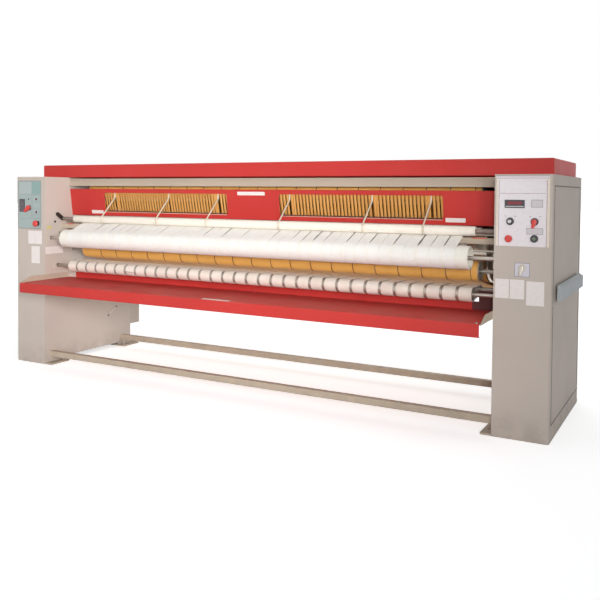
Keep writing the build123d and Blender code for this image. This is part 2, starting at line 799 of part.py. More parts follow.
def chain_loop():
    """The drive chain as a closed band that runs beside the sprockets' teeth tips."""
    big = sprocket_radius(cylinder_teeth) + tooth_tip
    small = sprocket_radius(motor_teeth) + tooth_tip
    wheels = [(back(motor_setback), motor_height, small, motor_chain_flats),
              (back(cylinder_setback), cylinder_height, big, cylinder_chain_flats)]
    inner = make_face(Polyline(*belt_corners(wheels, 0.0), close=True))
    outer_wheels = [(y, z, r + chain_thickness - belt_thickness, n) for y, z, r, n in wheels]
    outer = make_face(Polyline(*belt_corners(outer_wheels, belt_thickness), close=True))
    x0 = chain_x + (sprocket_thickness - chain_width) / 2
    return extrude(Plane.YZ.offset(x0) * (outer - inner), chain_width)


def gearmotor():
    """Gearbox bolted to the side frame, with the motor in front of it."""
    y, z = back(motor_setback), motor_height
    x1 = chain_x - shaft_tail
    front = y - gearbox_depth / 2
    case = bar(frame_back, x1, front, y + gearbox_depth / 2,
               z - gearbox_height / 2, z + gearbox_height / 2)
    bore = bore_outline(motor_shaft + running_clearance, shaft_sides)
    case -= prism_x(bore, frame_back + frame_plate, x1 + 1, y, z)
    return case + prism_y(many_sided(motor_radius, roll_sides), front - motor_length, front,
                          frame_back + motor_radius + frame_plate,
                          z - gearbox_height / 2 + motor_radius)


# ------------------------------------------------------------------ controls
panel_face = front_y - panel_proud
seat_face = panel_face + panel_recess      # what the controls sit on
bezel_face = seat_face - bezel_proud


def control_panel(limits, sign):
    """A raised plate on a cabinet front, with a thin rim and the controls' holes."""
    x0, x1, z0, z1 = limits
    plate = bar(x0, x1, panel_face, front_y, z0, z1)
    plate -= bar(x0 + panel_rim, x1 - panel_rim, panel_face - 1, seat_face,
                 z0 + panel_rim, z1 - panel_rim)
    for x, z in control_places(sign):
        plate -= sleeve_hole(x, z)
    return plate


def switch_body(x, z):
    """A control's bezel, with its square sleeve through the front sheet."""
    sleeve = control_sleeve - running_clearance
    sleeve_end = front_y + block_depth + skin
    body = prism_y(many_sided(bezel_radius, roll_sides), bezel_face, seat_face, x, z)
    body += bar(x - sleeve, x + sleeve, seat_face, sleeve_end, z - sleeve, z + sleeve)
    bore = bore_outline(control_stem + control_fit, shaft_sides)
    return body - prism_y(bore, bezel_face - 1, front_y + block_depth, x, z)


def stem(x, z, head_face):
    """The spindle that turns or slides in a switch body."""
    stem_end = front_y + block_depth - button_travel - 2 * control_fit
    return prism_y(many_sided(control_stem, shaft_sides), head_face, stem_end, x, z)


def push_button(x, z, radius, height, neck=0.0):
    """A round button with a bevelled rim, proud of its bezel by its travel and neck."""
    face = bezel_face - button_travel - control_fit
    head = prism_y(many_sided(radius, control_sides), face - neck - height, face - neck, x, z)
    head = chamfer(head.faces().sort_by(Axis.Y)[0].edges(), height / 3)
    return head + stem(x, z, face - neck)


def lever_head(x, z, hub, reach, tip, thickness, tilt):
    """A turning lever: a round hub and a tapered arm that hangs down, tilted to the left."""
    face = bezel_face - control_fit
    outline = Rot(0, 0, -tilt) * rounded_link(reach, hub, tip)
    arm = prism_y(outline, face - thickness, face, x, z)
    return arm + stem(x, z, face)


def selector_knob(x, z):
    """A round knob with a raised grip across it."""
    face = bezel_face - control_fit
    skirt = prism_y(many_sided(control_head, control_sides), face - skirt_height, face, x, z)
    half = grip_width / 2
    grip = bar(x - half, x + half, face - skirt_height - grip_height, face - skirt_height,
               z - control_head, z + control_head)
    return skirt + grip + stem(x, z, face)


def speed_plate():
    """The small square plate behind the speed lever."""
    x, z = speed_place
    width, height = speed_plate_size
    middle = z - speed_plate_drop
    plate = bar(x - width / 2, x + width / 2, seat_face, front_y, middle - height / 2,
                middle + height / 2)
    return plate - sleeve_hole(x, z)


# ------------------------------------------------------------------ write the sub-parts
for side, sign in (("left", -1), ("right", 1)):
    ship(f"{side}_side_frame", side_frame(sign))
    ship(f"{side}_cabinet_shell", cabinet_shell(sign))
    ship(f"{side}_access_panel", access_panel(sign))

feet = [foot_plate(x_sign, y_sign) for x_sign in (-1, 1) for y_sign in (-1, 1)]
ship("foot_plates", *[plate for plate, screw in feet])
ship("levelling_screws", *[screw for plate, screw in feet])
ship("floor_rails", floor_rail(front_rail_setback), floor_rail(rear_rail_setback))
ship("left_rear_housing", rear_housing())
ship("right_rear_cover", rear_cover())
ship("top_cover", top_cover())
ship("back_cover", back_cover())
ship("side_guard_rail", guard_rail())

top_rail_front = back(top_rail_setback)
top_rail_top = cabinet_height - top_rail_drop
top_web_top = top_rail_top + top_web_height
ship("top_rail", bar(-inner_x, inner_x, top_rail_front, top_rail_front + top_rail_size,
                     top_rail_top - top_rail_size, top_rail_top))
ship("top_bar", bar(-inner_x, inner_x, top_rail_front, top_rail_front + top_bar_depth,
                    top_web_top, top_web_top + top_bar_thickness)
     + bar(-inner_x, inner_x, top_rail_front + top_web_recess,
           top_rail_front + top_bar_depth, top_rail_top, top_web_top))
ship("window_panel", window_panel())
ship("guide_tapes", *guide_tapes())
ship("tape_bars", *tape_bars())
one_finger = finger()
ship("guide_fingers", *[Pos(x, 0, 0) * one_finger for x in finger_stations])
ship("finger_bar", finger_bar())

bed_front = back(feed_bed_front)
ship("feed_bed", bar(-inner_x, inner_x, bed_front, bed_front + feed_bed_depth,
                     feed_bed_top - feed_bed_height, feed_bed_top))
ship("feed_tie_rods", *[prism_x(many_sided(r, shaft_sides), -inner_x, inner_x, back(s), z)
                        for s, z, r in feed_rods])
ship("feed_belts", *belt_set(feed_path, feed_belt_count, feed_belt_pitch, feed_belt_width))
ship("ironing_belts", *belt_set(iron_path, iron_belt_count, iron_belt_pitch, iron_belt_width))
ship("return_belts", *belt_set(return_path, return_belt_count, return_belt_pitch,
                               return_belt_width))

frame_rolls = {
    "feed_roll": feed_roll,
    "feed_nose_roll": nose_roll,
    "top_front_roll": top_front_roll,
    "rear_top_roll": rear_top_roll,
    "rear_lower_roll": rear_lower_roll,
    "front_lower_roll": front_lower_roll,
    "return_roll": return_roll,
    "return_rear_roll": return_rear_roll,
}
for name, place in frame_rolls.items():
    ship(name, roll(place, journal_end))
ship("roll_bearings", *[on_side(sign, bearing(place, journal, shaft_sides, bearing_size,
                                              bearing_width))
                        for place in frame_rolls.values() for sign in (-1, 1)])
ship("press_roll", roll(press_roll, inner_x - lever_gap, press_journal, round_face=True))
ship("press_roll_levers", press_lever(-1), press_lever(1))
ship("takeup_brackets", *[takeup(plate, place, open_front, sign) for sign in (-1, 1)
                          for plate, place, open_front in (
                              (feed_takeup, feed_roll, True),
                              (return_takeup, return_roll, False))])

ship("heated_cylinder", ironing_cylinder())
ship("cylinder_bearings", *[on_side(sign, bearing(
    (cylinder_setback, cylinder_height), cylinder_journal, roll_sides,
    cylinder_bearing_size, cylinder_bearing_width)) for sign in (-1, 1)])
cylinder_y = back(cylinder_setback)
ship("burner_tube", burner())

journal_bore = bore_outline(cylinder_journal + running_clearance, roll_sides)
ship("cylinder_sprocket", sprocket(cylinder_teeth, journal_bore, cylinder_y, cylinder_height))
motor_y = back(motor_setback)
motor_shaft_outline = many_sided(motor_shaft, shaft_sides)
ship("motor_sprocket", sprocket(motor_teeth, many_sided(motor_shaft / 2, shaft_sides), motor_y,
                                motor_height)
     + prism_x(motor_shaft_outline, frame_back + 2 * frame_plate, cylinder_end, motor_y,
               motor_height))
ship("gearmotor", gearmotor())
ship("drive_chain", chain_loop())

ship("receiving_tray", tray())
ship("tray_brackets", tray_bracket(-1), tray_bracket(1))

ship("right_control_panel", control_panel(right_panel, 1))
ship("left_control_panel", control_panel(left_panel, -1))
ship("speed_plate", speed_plate())
ship("panel_displays", *[bar(x0, x1, seat_face - display_proud, seat_face, z0, z1)
                         for x0, x1, z0, z1 in (right_display, left_display)])
ship("indicator_lamps", *[prism_y(many_sided(lamp_radius, roll_sides),
                                  seat_face - display_proud, seat_face, x, z)
                          for x, z in lamp_places])
ship("switch_bodies", *[switch_body(x, z) for sign in (-1, 1)
                        for x, z in control_places(sign)])
ship("selector_knob", selector_knob(*selector_place))
ship("mode_lever", lever_head(*mode_place, *mode_lever_size))
ship("stop_button", push_button(*stop_place, control_head, button_height))
ship("start_button", push_button(*start_place, start_head, button_height))
ship("main_switch_lever", lever_head(*main_switch_place, *main_lever_size))
ship("emergency_stop", push_button(*emergency_place, mushroom_radius, mushroom_depth,
                                   mushroom_neck))
ship("speed_lever", lever_head(*speed_place, *speed_lever_size))
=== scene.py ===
"""Finishes and fine pieces of a flatwork ironer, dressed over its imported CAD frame.

Sizes are in metres in the frame of the CAD: X along the rolls, +Y to the back, +Z up, the
floor at Z 0.  A "setback" is a distance behind the front faces of the two cabinets.
"""
import json
import random
from math import asin, atan2, cos, hypot, pi, radians, sin, tan

import bmesh
import bpy
from mathutils import Matrix, Vector


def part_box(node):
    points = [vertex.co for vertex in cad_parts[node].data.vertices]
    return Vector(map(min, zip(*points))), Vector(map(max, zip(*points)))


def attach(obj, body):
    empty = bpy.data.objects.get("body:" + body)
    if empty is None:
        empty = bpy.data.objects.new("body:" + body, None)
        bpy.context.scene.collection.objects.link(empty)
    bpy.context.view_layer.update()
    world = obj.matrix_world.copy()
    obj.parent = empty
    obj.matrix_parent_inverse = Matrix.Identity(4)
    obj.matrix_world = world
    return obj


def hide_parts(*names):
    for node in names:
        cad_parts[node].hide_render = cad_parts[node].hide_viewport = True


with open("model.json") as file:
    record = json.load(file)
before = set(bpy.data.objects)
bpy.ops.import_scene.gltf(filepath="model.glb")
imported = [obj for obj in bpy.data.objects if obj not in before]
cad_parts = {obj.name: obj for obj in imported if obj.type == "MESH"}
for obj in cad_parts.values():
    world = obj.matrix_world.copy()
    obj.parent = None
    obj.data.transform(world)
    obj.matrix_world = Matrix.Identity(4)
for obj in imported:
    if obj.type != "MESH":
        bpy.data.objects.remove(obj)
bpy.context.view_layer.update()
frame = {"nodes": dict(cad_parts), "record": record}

# ------------------------------------------------------------------ places, from the CAD
cabinet_low, cabinet_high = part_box("right_cabinet_shell")
FRONT = cabinet_low.y                      # the cabinets' front faces
REAR = cabinet_high.y
INNER_X = cabinet_low.x                    # the side frames' inner faces
OUTER_X = cabinet_high.x
SIDES = (-1, 1)                            # left and right, as signs of X

# setback, height and radius of each roll
ROLLS = {
    "feed_roll": (0.064, 0.938, 0.0615),
    "feed_nose_roll": (0.300, 1.078, 0.022),
    "top_front_roll": (0.345, 1.290, 0.045),
    "rear_top_roll": (0.800, 1.275, 0.045),
    "rear_lower_roll": (0.850, 0.730, 0.045),
    "front_lower_roll": (0.286, 0.846, 0.055),
    "return_roll": (0.130, 0.730, 0.0375),
    "return_rear_roll": (0.300, 0.742, 0.022),
}
PRESS_ROLL = (0.163, 1.079, 0.027)
CYLINDER = (0.560, 0.985, 0.230)
ROLL_HALF_FACE = 1.512
CYLINDER_HALF_FACE = 1.530
SHAFT_RADIUS = 0.012
SHAFT_END = 1.690                          # how far the rolls' shafts reach in X
JOURNAL_RADIUS = 0.060
JOURNAL_BORE = 0.046
JOURNAL_END = 1.735                        # the same of the cylinder's journals
BELT_THICKNESS = 0.003
BELT_CLEARANCE = 0.0004                    # between a belt and its roll
WEB_THICKNESS = 0.0026                     # of a belt as drawn here, without its crown


def behind(setback):
    """The Y of a point that lies this far behind the cabinet fronts."""
    return FRONT + setback


# ------------------------------------------------------------------ colours
def paint_chip(code):
    """A colour from its six-digit code, as Blender's linear values."""
    parts = [int(code[i:i + 2], 16) / 255 for i in (1, 3, 5)]
    return tuple(c / 12.92 if c <= 0.04045 else ((c + 0.055) / 1.055) ** 2.4
                 for c in parts) + (1.0,)


def toned(colour, factor):
    """A darker or lighter tone of a colour."""
    return tuple(min(c * factor, 1.0) for c in colour[:3]) + (1.0,)


DUST = paint_chip("#B9B2A8")
GRIME = paint_chip("#6C6258")
METAL_DUST = paint_chip("#A49C92")
IRON_DUST = paint_chip("#8E867C")


# ------------------------------------------------------------------ shader effects
class Bench:
    """Adds and joins the nodes of one node tree."""

    def __init__(self, tree):
        self.tree = tree
        self.column = 0

    def put(self, kind, **settings):
        """Add a node of this kind."""
        node = self.tree.nodes.new(kind)
        node.location = (self.column * 180, 0)
        self.column += 1
        for key, value in settings.items():
            setattr(node, key, value)
        return node

    def join(self, source, target):
        """Link an output to an input."""
        self.tree.links.new(source, target)

    def fill(self, socket, value):
        """Give a socket a plain value or a link."""
        if isinstance(value, bpy.types.NodeSocket):
            self.join(value, socket)
        else:
            socket.default_value = value

    def maths(self, operation, a, b=0.0):
        """One sum of two numbers."""
        node = self.put("ShaderNodeMath", operation=operation)
        self.fill(node.inputs[0], a)
        self.fill(node.inputs[1], b)
        return node.outputs[0]

    def times(self, a, b):
        return self.maths("MULTIPLY", a, b)

    def plus(self, a, b):
        return self.maths("ADD", a, b)

    def vector(self, operation, a, b):
        """A vector operation that gives a number."""
        node = self.put("ShaderNodeVectorMath", operation=operation)
        self.fill(node.inputs[0], a)
        self.fill(node.inputs[1], b)
        return node.outputs["Value"]

    def split(self, vector):
        """The X, Y and Z of a vector."""
        node = self.put("ShaderNodeSeparateXYZ")
        self.join(vector, node.inputs[0])
        return node.outputs

    def spread(self, value, low, high, to_low=0.0, to_high=1.0):
        """Map a value from one range to another, and hold it inside that."""
        node = self.put("ShaderNodeMapRange", clamp=True)
        for socket, given in zip(node.inputs, (value, low, high, to_low, to_high)):
            self.fill(socket, given)
        return node.outputs["Result"]

    def blend(self, share, a, b):
        """Mix two colours; a share of one gives the second."""
        node = self.put("ShaderNodeMix", data_type="RGBA", blend_type="MIX")
        self.fill(node.inputs["Factor"], share)
        self.fill(node.inputs[6], a)
        self.fill(node.inputs[7], b)
        return node.outputs[2]

    def noise(self, place, scale, detail=3.0, roughness=0.5):
        """Cloudy noise at a place."""
        node = self.put("ShaderNodeTexNoise")
        self.fill(node.inputs["Vector"], place)
        self.fill(node.inputs["Scale"], scale)
        self.fill(node.inputs["Detail"], detail)
        self.fill(node.inputs["Roughness"], roughness)
        return node.outputs["Fac"]

    def stretched(self, place, along, across):
        """A place scaled along X and across it."""
        node = self.put("ShaderNodeMapping")
        self.fill(node.inputs["Vector"], place)
        node.inputs["Scale"].default_value = (along, across, across)
        return node.outputs["Vector"]


def new_effect(name, inputs, outputs):
    """A shared effect to be filled in: `inputs` are names with values, `outputs` are names.

    Gives the group, its bench, its inputs, the place on the surface, and its outputs.
    """
    effect = bpy.data.node_groups.new(name, "ShaderNodeTree")
    for label, value in inputs.items():
        socket = effect.interface.new_socket(label, in_out="INPUT", socket_type="NodeSocketFloat")
        socket.default_value = value
    for label in outputs:
        kind = "NodeSocketVector" if label == "Normal" else "NodeSocketFloat"
        effect.interface.new_socket(label, in_out="OUTPUT", socket_type=kind)
    bench = Bench(effect)
    given = bench.put("NodeGroupInput").outputs
    place = bench.put("ShaderNodeTexCoord").outputs["Object"]
    made = bench.put("NodeGroupOutput").inputs
    return effect, bench, given, place, made


def build_orange_peel():
    """Sprayed paint: a fine ripple, a slow change of tone and of gloss."""
    effect, bench, given, place, made = new_effect(
        "Orange peel", {"Ripple": 420.0}, ("Height", "Tone", "Gloss"))
    bench.join(bench.noise(place, given["Ripple"], 2.0), made["Height"])
    bench.join(bench.spread(bench.noise(place, 1.6, 3.0), 0.3, 0.7), made["Tone"])
    bench.join(bench.spread(bench.noise(place, 7.0, 4.0), 0.3, 0.7), made["Gloss"])
    return effect


def build_worn_edge():
    """Where sheet edges have rubbed: a mask along sharp edges, broken up by noise."""
    effect, bench, given, place, made = new_effect(
        "Worn edge", {"Reach": 0.0015, "Spread": 0.5}, ("Wear", "Normal"))
    rounded = bench.put("ShaderNodeBevel", samples=4)
    bench.join(given["Reach"], rounded.inputs["Radius"])
    flat = bench.put("ShaderNodeNewGeometry").outputs["True Normal"]
    edge = bench.spread(bench.vector("DOT_PRODUCT", rounded.outputs["Normal"], flat), 0.98, 0.80)
    patches = bench.noise(place, 26.0, 5.0, 0.65)
    level = bench.maths("SUBTRACT", 0.78, bench.times(given["Spread"], 0.3))
    broken = bench.spread(patches, level, bench.plus(level, 0.07))
    bench.join(bench.times(edge, broken), made["Wear"])
    bench.join(rounded.outputs["Normal"], made["Normal"])
    return effect


def build_settled_dust():
    """Lint and dust: thick on faces that look up, thin elsewhere, and grime near the floor."""
    effect, bench, given, place, made = new_effect(
        "Settled dust", {"Amount": 0.5}, ("Dust", "Grime"))
    facing = bench.split(bench.put("ShaderNodeNewGeometry").outputs["Normal"])
    upward = bench.spread(facing["Z"], 0.55, 1.0, 0.12, 1.0)
    drift = bench.spread(bench.noise(place, 5.0, 6.0, 0.6), 0.35, 0.75)
    bench.join(bench.times(bench.times(upward, drift), given["Amount"]), made["Dust"])
    low = bench.spread(bench.split(place)["Z"], 0.16, 0.0)
    smear = bench.spread(bench.noise(place, 14.0, 5.0), 0.3, 0.8)
    bench.join(bench.times(low, smear), made["Grime"])
    return effect


def build_drawn_grain():
    """Ground or drawn metal: fine lines along X, and stains."""
    effect, bench, given, place, made = new_effect(
        "Drawn grain", {"Fineness": 900.0}, ("Height", "Stain"))
    lines = bench.noise(bench.stretched(place, 0.02, 1.0), given["Fineness"], 3.0)
    stains = bench.noise(bench.stretched(place, 0.4, 1.0), 18.0, 6.0, 0.6)
    bench.join(lines, made["Height"])
    bench.join(bench.spread(stains, 0.42, 0.72), made["Stain"])
    return effect


def build_webbing_weave():
    """Woven webbing: ribs along its run, picks across it, lint and soil.

    The cloth map gives the place across the web and along its run, in metres.
    """
    effect, bench, given, place, made = new_effect(
        "Webbing weave", {"Rib": 0.0021, "Pick": 0.0016}, ("Height", "Shade", "Soil"))
    spot = bench.split(bench.put("ShaderNodeUVMap", uv_map="cloth").outputs["UV"])

    def waves(along, pitch):
        """Rounded ribs, one to each pitch."""
        turns = bench.maths("DIVIDE", along, pitch)
        return bench.maths("ABSOLUTE", bench.maths("SINE", bench.times(turns, pi)))

    rib = waves(spot["X"], given["Rib"])
    pick = waves(spot["Y"], given["Pick"])
    crossing = bench.times(rib, bench.plus(bench.times(pick, 0.5), 0.5))
    fuzz = bench.noise(place, 600.0, 3.0)
    soil = bench.noise(place, 9.0, 6.0, 0.6)
    bench.join(bench.plus(crossing, bench.times(fuzz, 0.4)), made["Height"])
    bench.join(bench.spread(crossing, 0.0, 0.7, 0.84, 1.0), made["Shade"])
    bench.join(bench.spread(soil, 0.40, 0.75), made["Soil"])
    return effect


def build_moulded_skin():
    """Moulded plastic: a fine matt grain and faint handling marks."""
    effect, bench, given, place, made = new_effect(
        "Moulded skin", {"Grain": 1500.0}, ("Height", "Marks"))
    bench.join(bench.noise(place, given["Grain"], 2.0), made["Height"])
    bench.join(bench.spread(bench.noise(place, 60.0, 5.0), 0.45, 0.75), made["Marks"])
    return effect


def build_cast_skin():
    """Sand-cast iron: a coarse pitted skin."""
    effect, bench, given, place, made = new_effect(
        "Cast skin", {"Grain": 260.0}, ("Height", "Pits"))
    bench.join(bench.noise(place, given["Grain"], 5.0, 0.7), made["Height"])
    bench.join(bench.spread(bench.noise(place, 45.0, 4.0), 0.35, 0.7), made["Pits"])
    return effect


ORANGE_PEEL = build_orange_peel()
WORN_EDGE = build_worn_edge()
SETTLED_DUST = build_settled_dust()
DRAWN_GRAIN = build_drawn_grain()
WEBBING_WEAVE = build_webbing_weave()
MOULDED_SKIN = build_moulded_skin()
CAST_SKIN = build_cast_skin()


# ------------------------------------------------------------------ finishes
def start_finish(name, metal, shine=0.5):
    """A new material: its bench, its shader, and a way to place a shared effect in it."""
    material = bpy.data.materials.new(name)
    material.use_nodes = True
    tree = material.node_tree
    shader = tree.nodes["Principled BSDF"]
    shader.inputs["Metallic"].default_value = metal
    shader.inputs["Specular IOR Level"].default_value = shine
    bench = Bench(tree)

    def place_effect(effect, **values):
        """Add a shared effect, with its inputs set, and give its outputs."""
        node = bench.put("ShaderNodeGroup")
        node.node_tree = effect
        for key, value in values.items():
            node.inputs[key].default_value = value
        return node.outputs

    return material, bench, shader, place_effect


def rough_up(bench, shader, height, depth, normal=None):
    """A bump of this depth under the shader."""
    bump = bench.put("ShaderNodeBump")
    bump.inputs["Strength"].default_value = 0.35
    bump.inputs["Distance"].default_value = depth
    bench.join(height, bump.inputs["Height"])
    if normal is not None:
        bench.join(normal, bump.inputs["Normal"])
    bench.join(bump.outputs["Normal"], shader.inputs["Normal"])


def painted(name, code, bare, gloss=0.56, dust=0.35, wear=0.45):
    """Sprayed sheet metal that is rubbed to a primer or bare colour on its edges."""
    colour = paint_chip(code)
    material, bench, shader, effect = start_finish(name, 0.0, shine=0.28)
    peel = effect(ORANGE_PEEL)
    edge = effect(WORN_EDGE, Reach=0.0016, Spread=wear)
    settled = effect(SETTLED_DUST, Amount=dust)
    tone = bench.blend(peel["Tone"], toned(colour, 0.94), toned(colour, 1.05))
    dusty = bench.blend(bench.times(settled["Dust"], 0.35), tone, DUST)
    grimy = bench.blend(bench.times(settled["Grime"], 0.45), dusty, GRIME)
    bench.join(bench.blend(edge["Wear"], grimy, paint_chip(bare)), shader.inputs["Base Color"])
    dull = bench.spread(peel["Gloss"], 0.0, 1.0, gloss - 0.02, gloss + 0.05)
    bench.join(bench.plus(dull, bench.times(settled["Dust"], 0.25)), shader.inputs["Roughness"])
    rough_up(bench, shader, peel["Height"], 0.0004, edge["Normal"])
    return material


def drawn_metal(name, code, stain, gloss, metal):
    """Ground, drawn or plated steel with lines along X and a few stains."""
    colour = paint_chip(code)
    material, bench, shader, effect = start_finish(name, metal)
    grain = effect(DRAWN_GRAIN)
    edge = effect(WORN_EDGE, Reach=0.0008, Spread=0.9)
    settled = effect(SETTLED_DUST, Amount=0.4)
    stained = bench.blend(bench.times(grain["Stain"], 0.6), colour, paint_chip(stain))
    dusty = bench.blend(bench.times(settled["Dust"], 0.3), stained, METAL_DUST)
    bench.join(bench.blend(edge["Wear"], dusty, toned(colour, 1.25)),
               shader.inputs["Base Color"])
    lined = bench.spread(grain["Height"], 0.3, 0.7, gloss - 0.06, gloss + 0.08)
    bench.join(bench.plus(lined, bench.times(grain["Stain"], 0.15)), shader.inputs["Roughness"])
    rough_up(bench, shader, grain["Height"], 0.0002, edge["Normal"])
    return material


def woven(name, code, soiled, rib=0.0018, pick=0.0014, sheen=0.15, soil=0.5):
    """Woven polyester webbing."""
    colour = paint_chip(code)
    material, bench, shader, effect = start_finish(name, 0.0)
    shader.inputs["Sheen Weight"].default_value = sheen
    shader.inputs["Sheen Roughness"].default_value = 0.45
    weave = effect(WEBBING_WEAVE, Rib=rib, Pick=pick)
    used = bench.blend(bench.times(weave["Soil"], soil), colour, paint_chip(soiled))
    shaded = bench.blend(weave["Shade"], toned(colour, 0.72), used)
    bench.join(shaded, shader.inputs["Base Color"])
    bench.join(bench.spread(weave["Soil"], 0.0, 1.0, 0.68, 0.86), shader.inputs["Roughness"])
    rough_up(bench, shader, weave["Height"], 0.0003)
    return material


def moulded(name, code, marked, gloss=0.4, coat=0.0, grain=1500.0, glow=0.0):
    """Moulded plastic, printed film or a lamp's lens."""
    colour, marks = paint_chip(code), paint_chip(marked)
    material, bench, shader, effect = start_finish(name, 0.0)
    if coat:
        shader.inputs["Coat Weight"].default_value = coat
        shader.inputs["Coat Roughness"].default_value = 0.08
    skin = effect(MOULDED_SKIN, Grain=grain)
    edge = effect(WORN_EDGE, Reach=0.0007, Spread=0.25)
    handled = bench.blend(bench.times(skin["Marks"], 0.3), colour, marks)
    bench.join(bench.blend(bench.times(edge["Wear"], 0.4), handled, marks),
               shader.inputs["Base Color"])
    bench.join(bench.spread(skin["Marks"], 0.0, 1.0, gloss, gloss + 0.14),
               shader.inputs["Roughness"])
    if glow:
        shader.inputs["Emission Color"].default_value = colour
        shader.inputs["Emission Strength"].default_value = glow
    rough_up(bench, shader, skin["Height"], 0.0001, edge["Normal"])
    return material


def cast(name, code, pitted, gloss=0.6, metal=0.55):
    """Cast iron or an oiled forging."""
    colour = paint_chip(code)
    material, bench, shader, effect = start_finish(name, metal)
    skin = effect(CAST_SKIN)
    edge = effect(WORN_EDGE, Reach=0.0015, Spread=0.8)
    settled = effect(SETTLED_DUST, Amount=0.6)
    mottled = bench.blend(skin["Pits"], colour, paint_chip(pitted))
    dusty = bench.blend(bench.times(settled["Dust"], 0.4), mottled, IRON_DUST)
    bench.join(bench.blend(edge["Wear"], dusty, toned(colour, 2.2)), shader.inputs["Base Color"])
    bench.join(bench.spread(skin["Pits"], 0.0, 1.0, gloss - 0.08, gloss + 0.12),
               shader.inputs["Roughness"])
    rough_up(bench, shader, skin["Height"], 0.0008, edge["Normal"])
    return material


PRIMER = "#8D8378"
FINISHES = {
    "red_paint": painted("Red enamel", "#C63833", "#8E4A44", gloss=0.48, wear=0.25),
    "cabinet_paint": painted("Warm grey enamel", "#CCBFB4", PRIMER, gloss=0.60),
    "guard_paint": painted("Guard rail enamel", "#B4B8BA", PRIMER, gloss=0.55),
    "frame_paint": painted("Beige grey enamel", "#D2C6BC", PRIMER, gloss=0.60),
    "rail_paint": painted("Beige enamel", "#C6B6A2", PRIMER, dust=0.6),
    "pale_paint": painted("Pale enamel", "#DDD5CC", PRIMER, gloss=0.50),
    "zinc_steel": drawn_metal("Zinc plate", "#C2BBAF", "#8F8678", gloss=0.42, metal=0.6),
    "roll_steel": drawn_metal("Ground steel", "#BDB6AC", "#84796B", gloss=0.36, metal=0.75),
    "polished_steel": drawn_metal("Polished steel", "#D8D4CC", "#9A8A76", gloss=0.16, metal=1.0),
    "white_roll": moulded("White roll cover", "#F3EEE2", "#E2D8C2", gloss=0.48, grain=700.0),
    "dark_steel": cast("Oiled dark steel", "#4A4440", "#383330", gloss=0.48, metal=0.7),
    "bearing_iron": cast("Cast iron", "#6E6C6C", "#4F4D4D"),
    "motor_paint": painted("Motor enamel", "#6B757C", "#9A9A98", dust=0.7),
    "amber_webbing": woven("Amber webbing", "#F3B75E", "#E09A44", 0.0021, 0.0016, soil=0.35),
    "cream_webbing": woven("Cream webbing", "#F1E8DC", "#D9CBB6"),
    "white_panel": moulded("White panel film", "#F2EAEC", "#DED5D6", gloss=0.48),
    "blue_grey_panel": moulded("Blue grey panel film", "#A9B8B4", "#93A39F", gloss=0.50),
    "display_dark": moulded("Display window", "#3B2B33", "#4C3C42", gloss=0.12, coat=0.8),
    "red_plastic": moulded("Red plastic", "#DC4540", "#B93B36", gloss=0.42),
    "green_plastic": moulded("Grey green plastic", "#6F7C68", "#566050", gloss=0.34, coat=0.2),
    "black_plastic": moulded("Black plastic", "#37343A", "#4D4A50", gloss=0.36, coat=0.2),
}
AMBER_WEBBING = FINISHES["amber_webbing"]
CREAM_WEBBING = FINISHES["cream_webbing"]
WHITE_ROLL = FINISHES["white_roll"]
ROLL_STEEL = FINISHES["roll_steel"]
ZINC_STEEL = FINISHES["zinc_steel"]
DARK_STEEL = FINISHES["dark_steel"]
FRAME_PAINT = FINISHES["frame_paint"]
PALE_PAINT = FINISHES["pale_paint"]
WHITE_PANEL = FINISHES["white_panel"]
BLACK_PLASTIC = FINISHES["black_plastic"]
DISPLAY_DARK = FINISHES["display_dark"]

FEED_WEBBING = woven("White webbing", "#F6F2EC", "#E9E1D4", soil=0.35)
SEAM_WEBBING = woven("Red selvage", "#8C331F", "#742A18", 0.0012, 0.0016)
SPLICE_WEBBING = woven("Belt joint", "#B7A4A0", "#A08C88")
TAPE_WEBBING = woven("Guide tape webbing", "#DDA052", "#B8762F", 0.0030, 0.0018, sheen=0.25,
                     soil=0.3)
FINGER_METAL = drawn_metal("Finger rod", "#DDD2BE", "#B9AA90", gloss=0.42, metal=0.35)
PRESS_COVER = moulded("Press roll cover", "#F6EDE0", "#E6DAC6", gloss=0.55, grain=700.0)
SLEEVE_METAL = cast("Shaft sleeve", "#94847B", "#7A6C64", metal=0.3)
PRINT_ROSE = moulded("Printed rose line", "#A98A90", "#94777C")
PRINT_GREY = moulded("Printed grey line", "#8D878B", "#7C767A")
PRINT_TEAL = moulded("Printed teal field", "#90ABA7", "#829D99")
PRINT_PALE = moulded("Printed pale field", "#B2BDBA", "#A0ACA9")
LEGEND_FIELD = moulded("Printed legend field", "#DAD2D4", "#C7BFC1")
MOULDING = moulded("Cream moulding", "#F0E2D2", "#D2C3B2", gloss=0.5)
HEADER_STRIP = moulded("Header strip", "#E2D8DA", "#CCC2C4", gloss=0.5)
BARE_PLATE = moulded("Blank plate", "#F1E8E4", "#D9D0CA", gloss=0.45)
SPEED_FILM = moulded("Speed plate film", "#D9D4DE", "#C2BDC8")
YELLOW_MARK = moulded("Yellow mark", "#D8CE84", "#BDB168")
ORANGE_MARK = moulded("Orange mark", "#DC6A48", "#C1532F")
DISPLAY_GLOW = moulded("Display segments", "#7A2A30", "#64232A", gloss=0.3, glow=0.12)
DISPLAY_DIM = moulded("Dim display", "#62525E", "#54444F", gloss=0.3)
LAMP_RED = moulded("Lamp lens", "#8E3036", "#74262C", gloss=0.3)
WHITE_INSERT = moulded("Knob insert", "#E6E0E2", "#C6C0C2")
RUBBER_LIP = moulded("Edge lip", "#D6C2A8", "#B39F86", gloss=0.6)
# a dark colour that paints the shadow under the tapes at each window's lower edge
TAPE_SHADOW_STRIP = moulded("Painted tape shadow", "#3E2622", "#4E332C", gloss=0.6)
# a dark grey that paints the shade line round the access openings
SEAL_SHADE_LINE = moulded("Seal painted as shade line", "#6E6C68", "#5C5A56", gloss=0.7)
# a dark maroon that paints the shade beside the tray's right end
SHADE_GUARD_PAINT = painted("Guard painted as shade", "#5E3334", PRIMER)
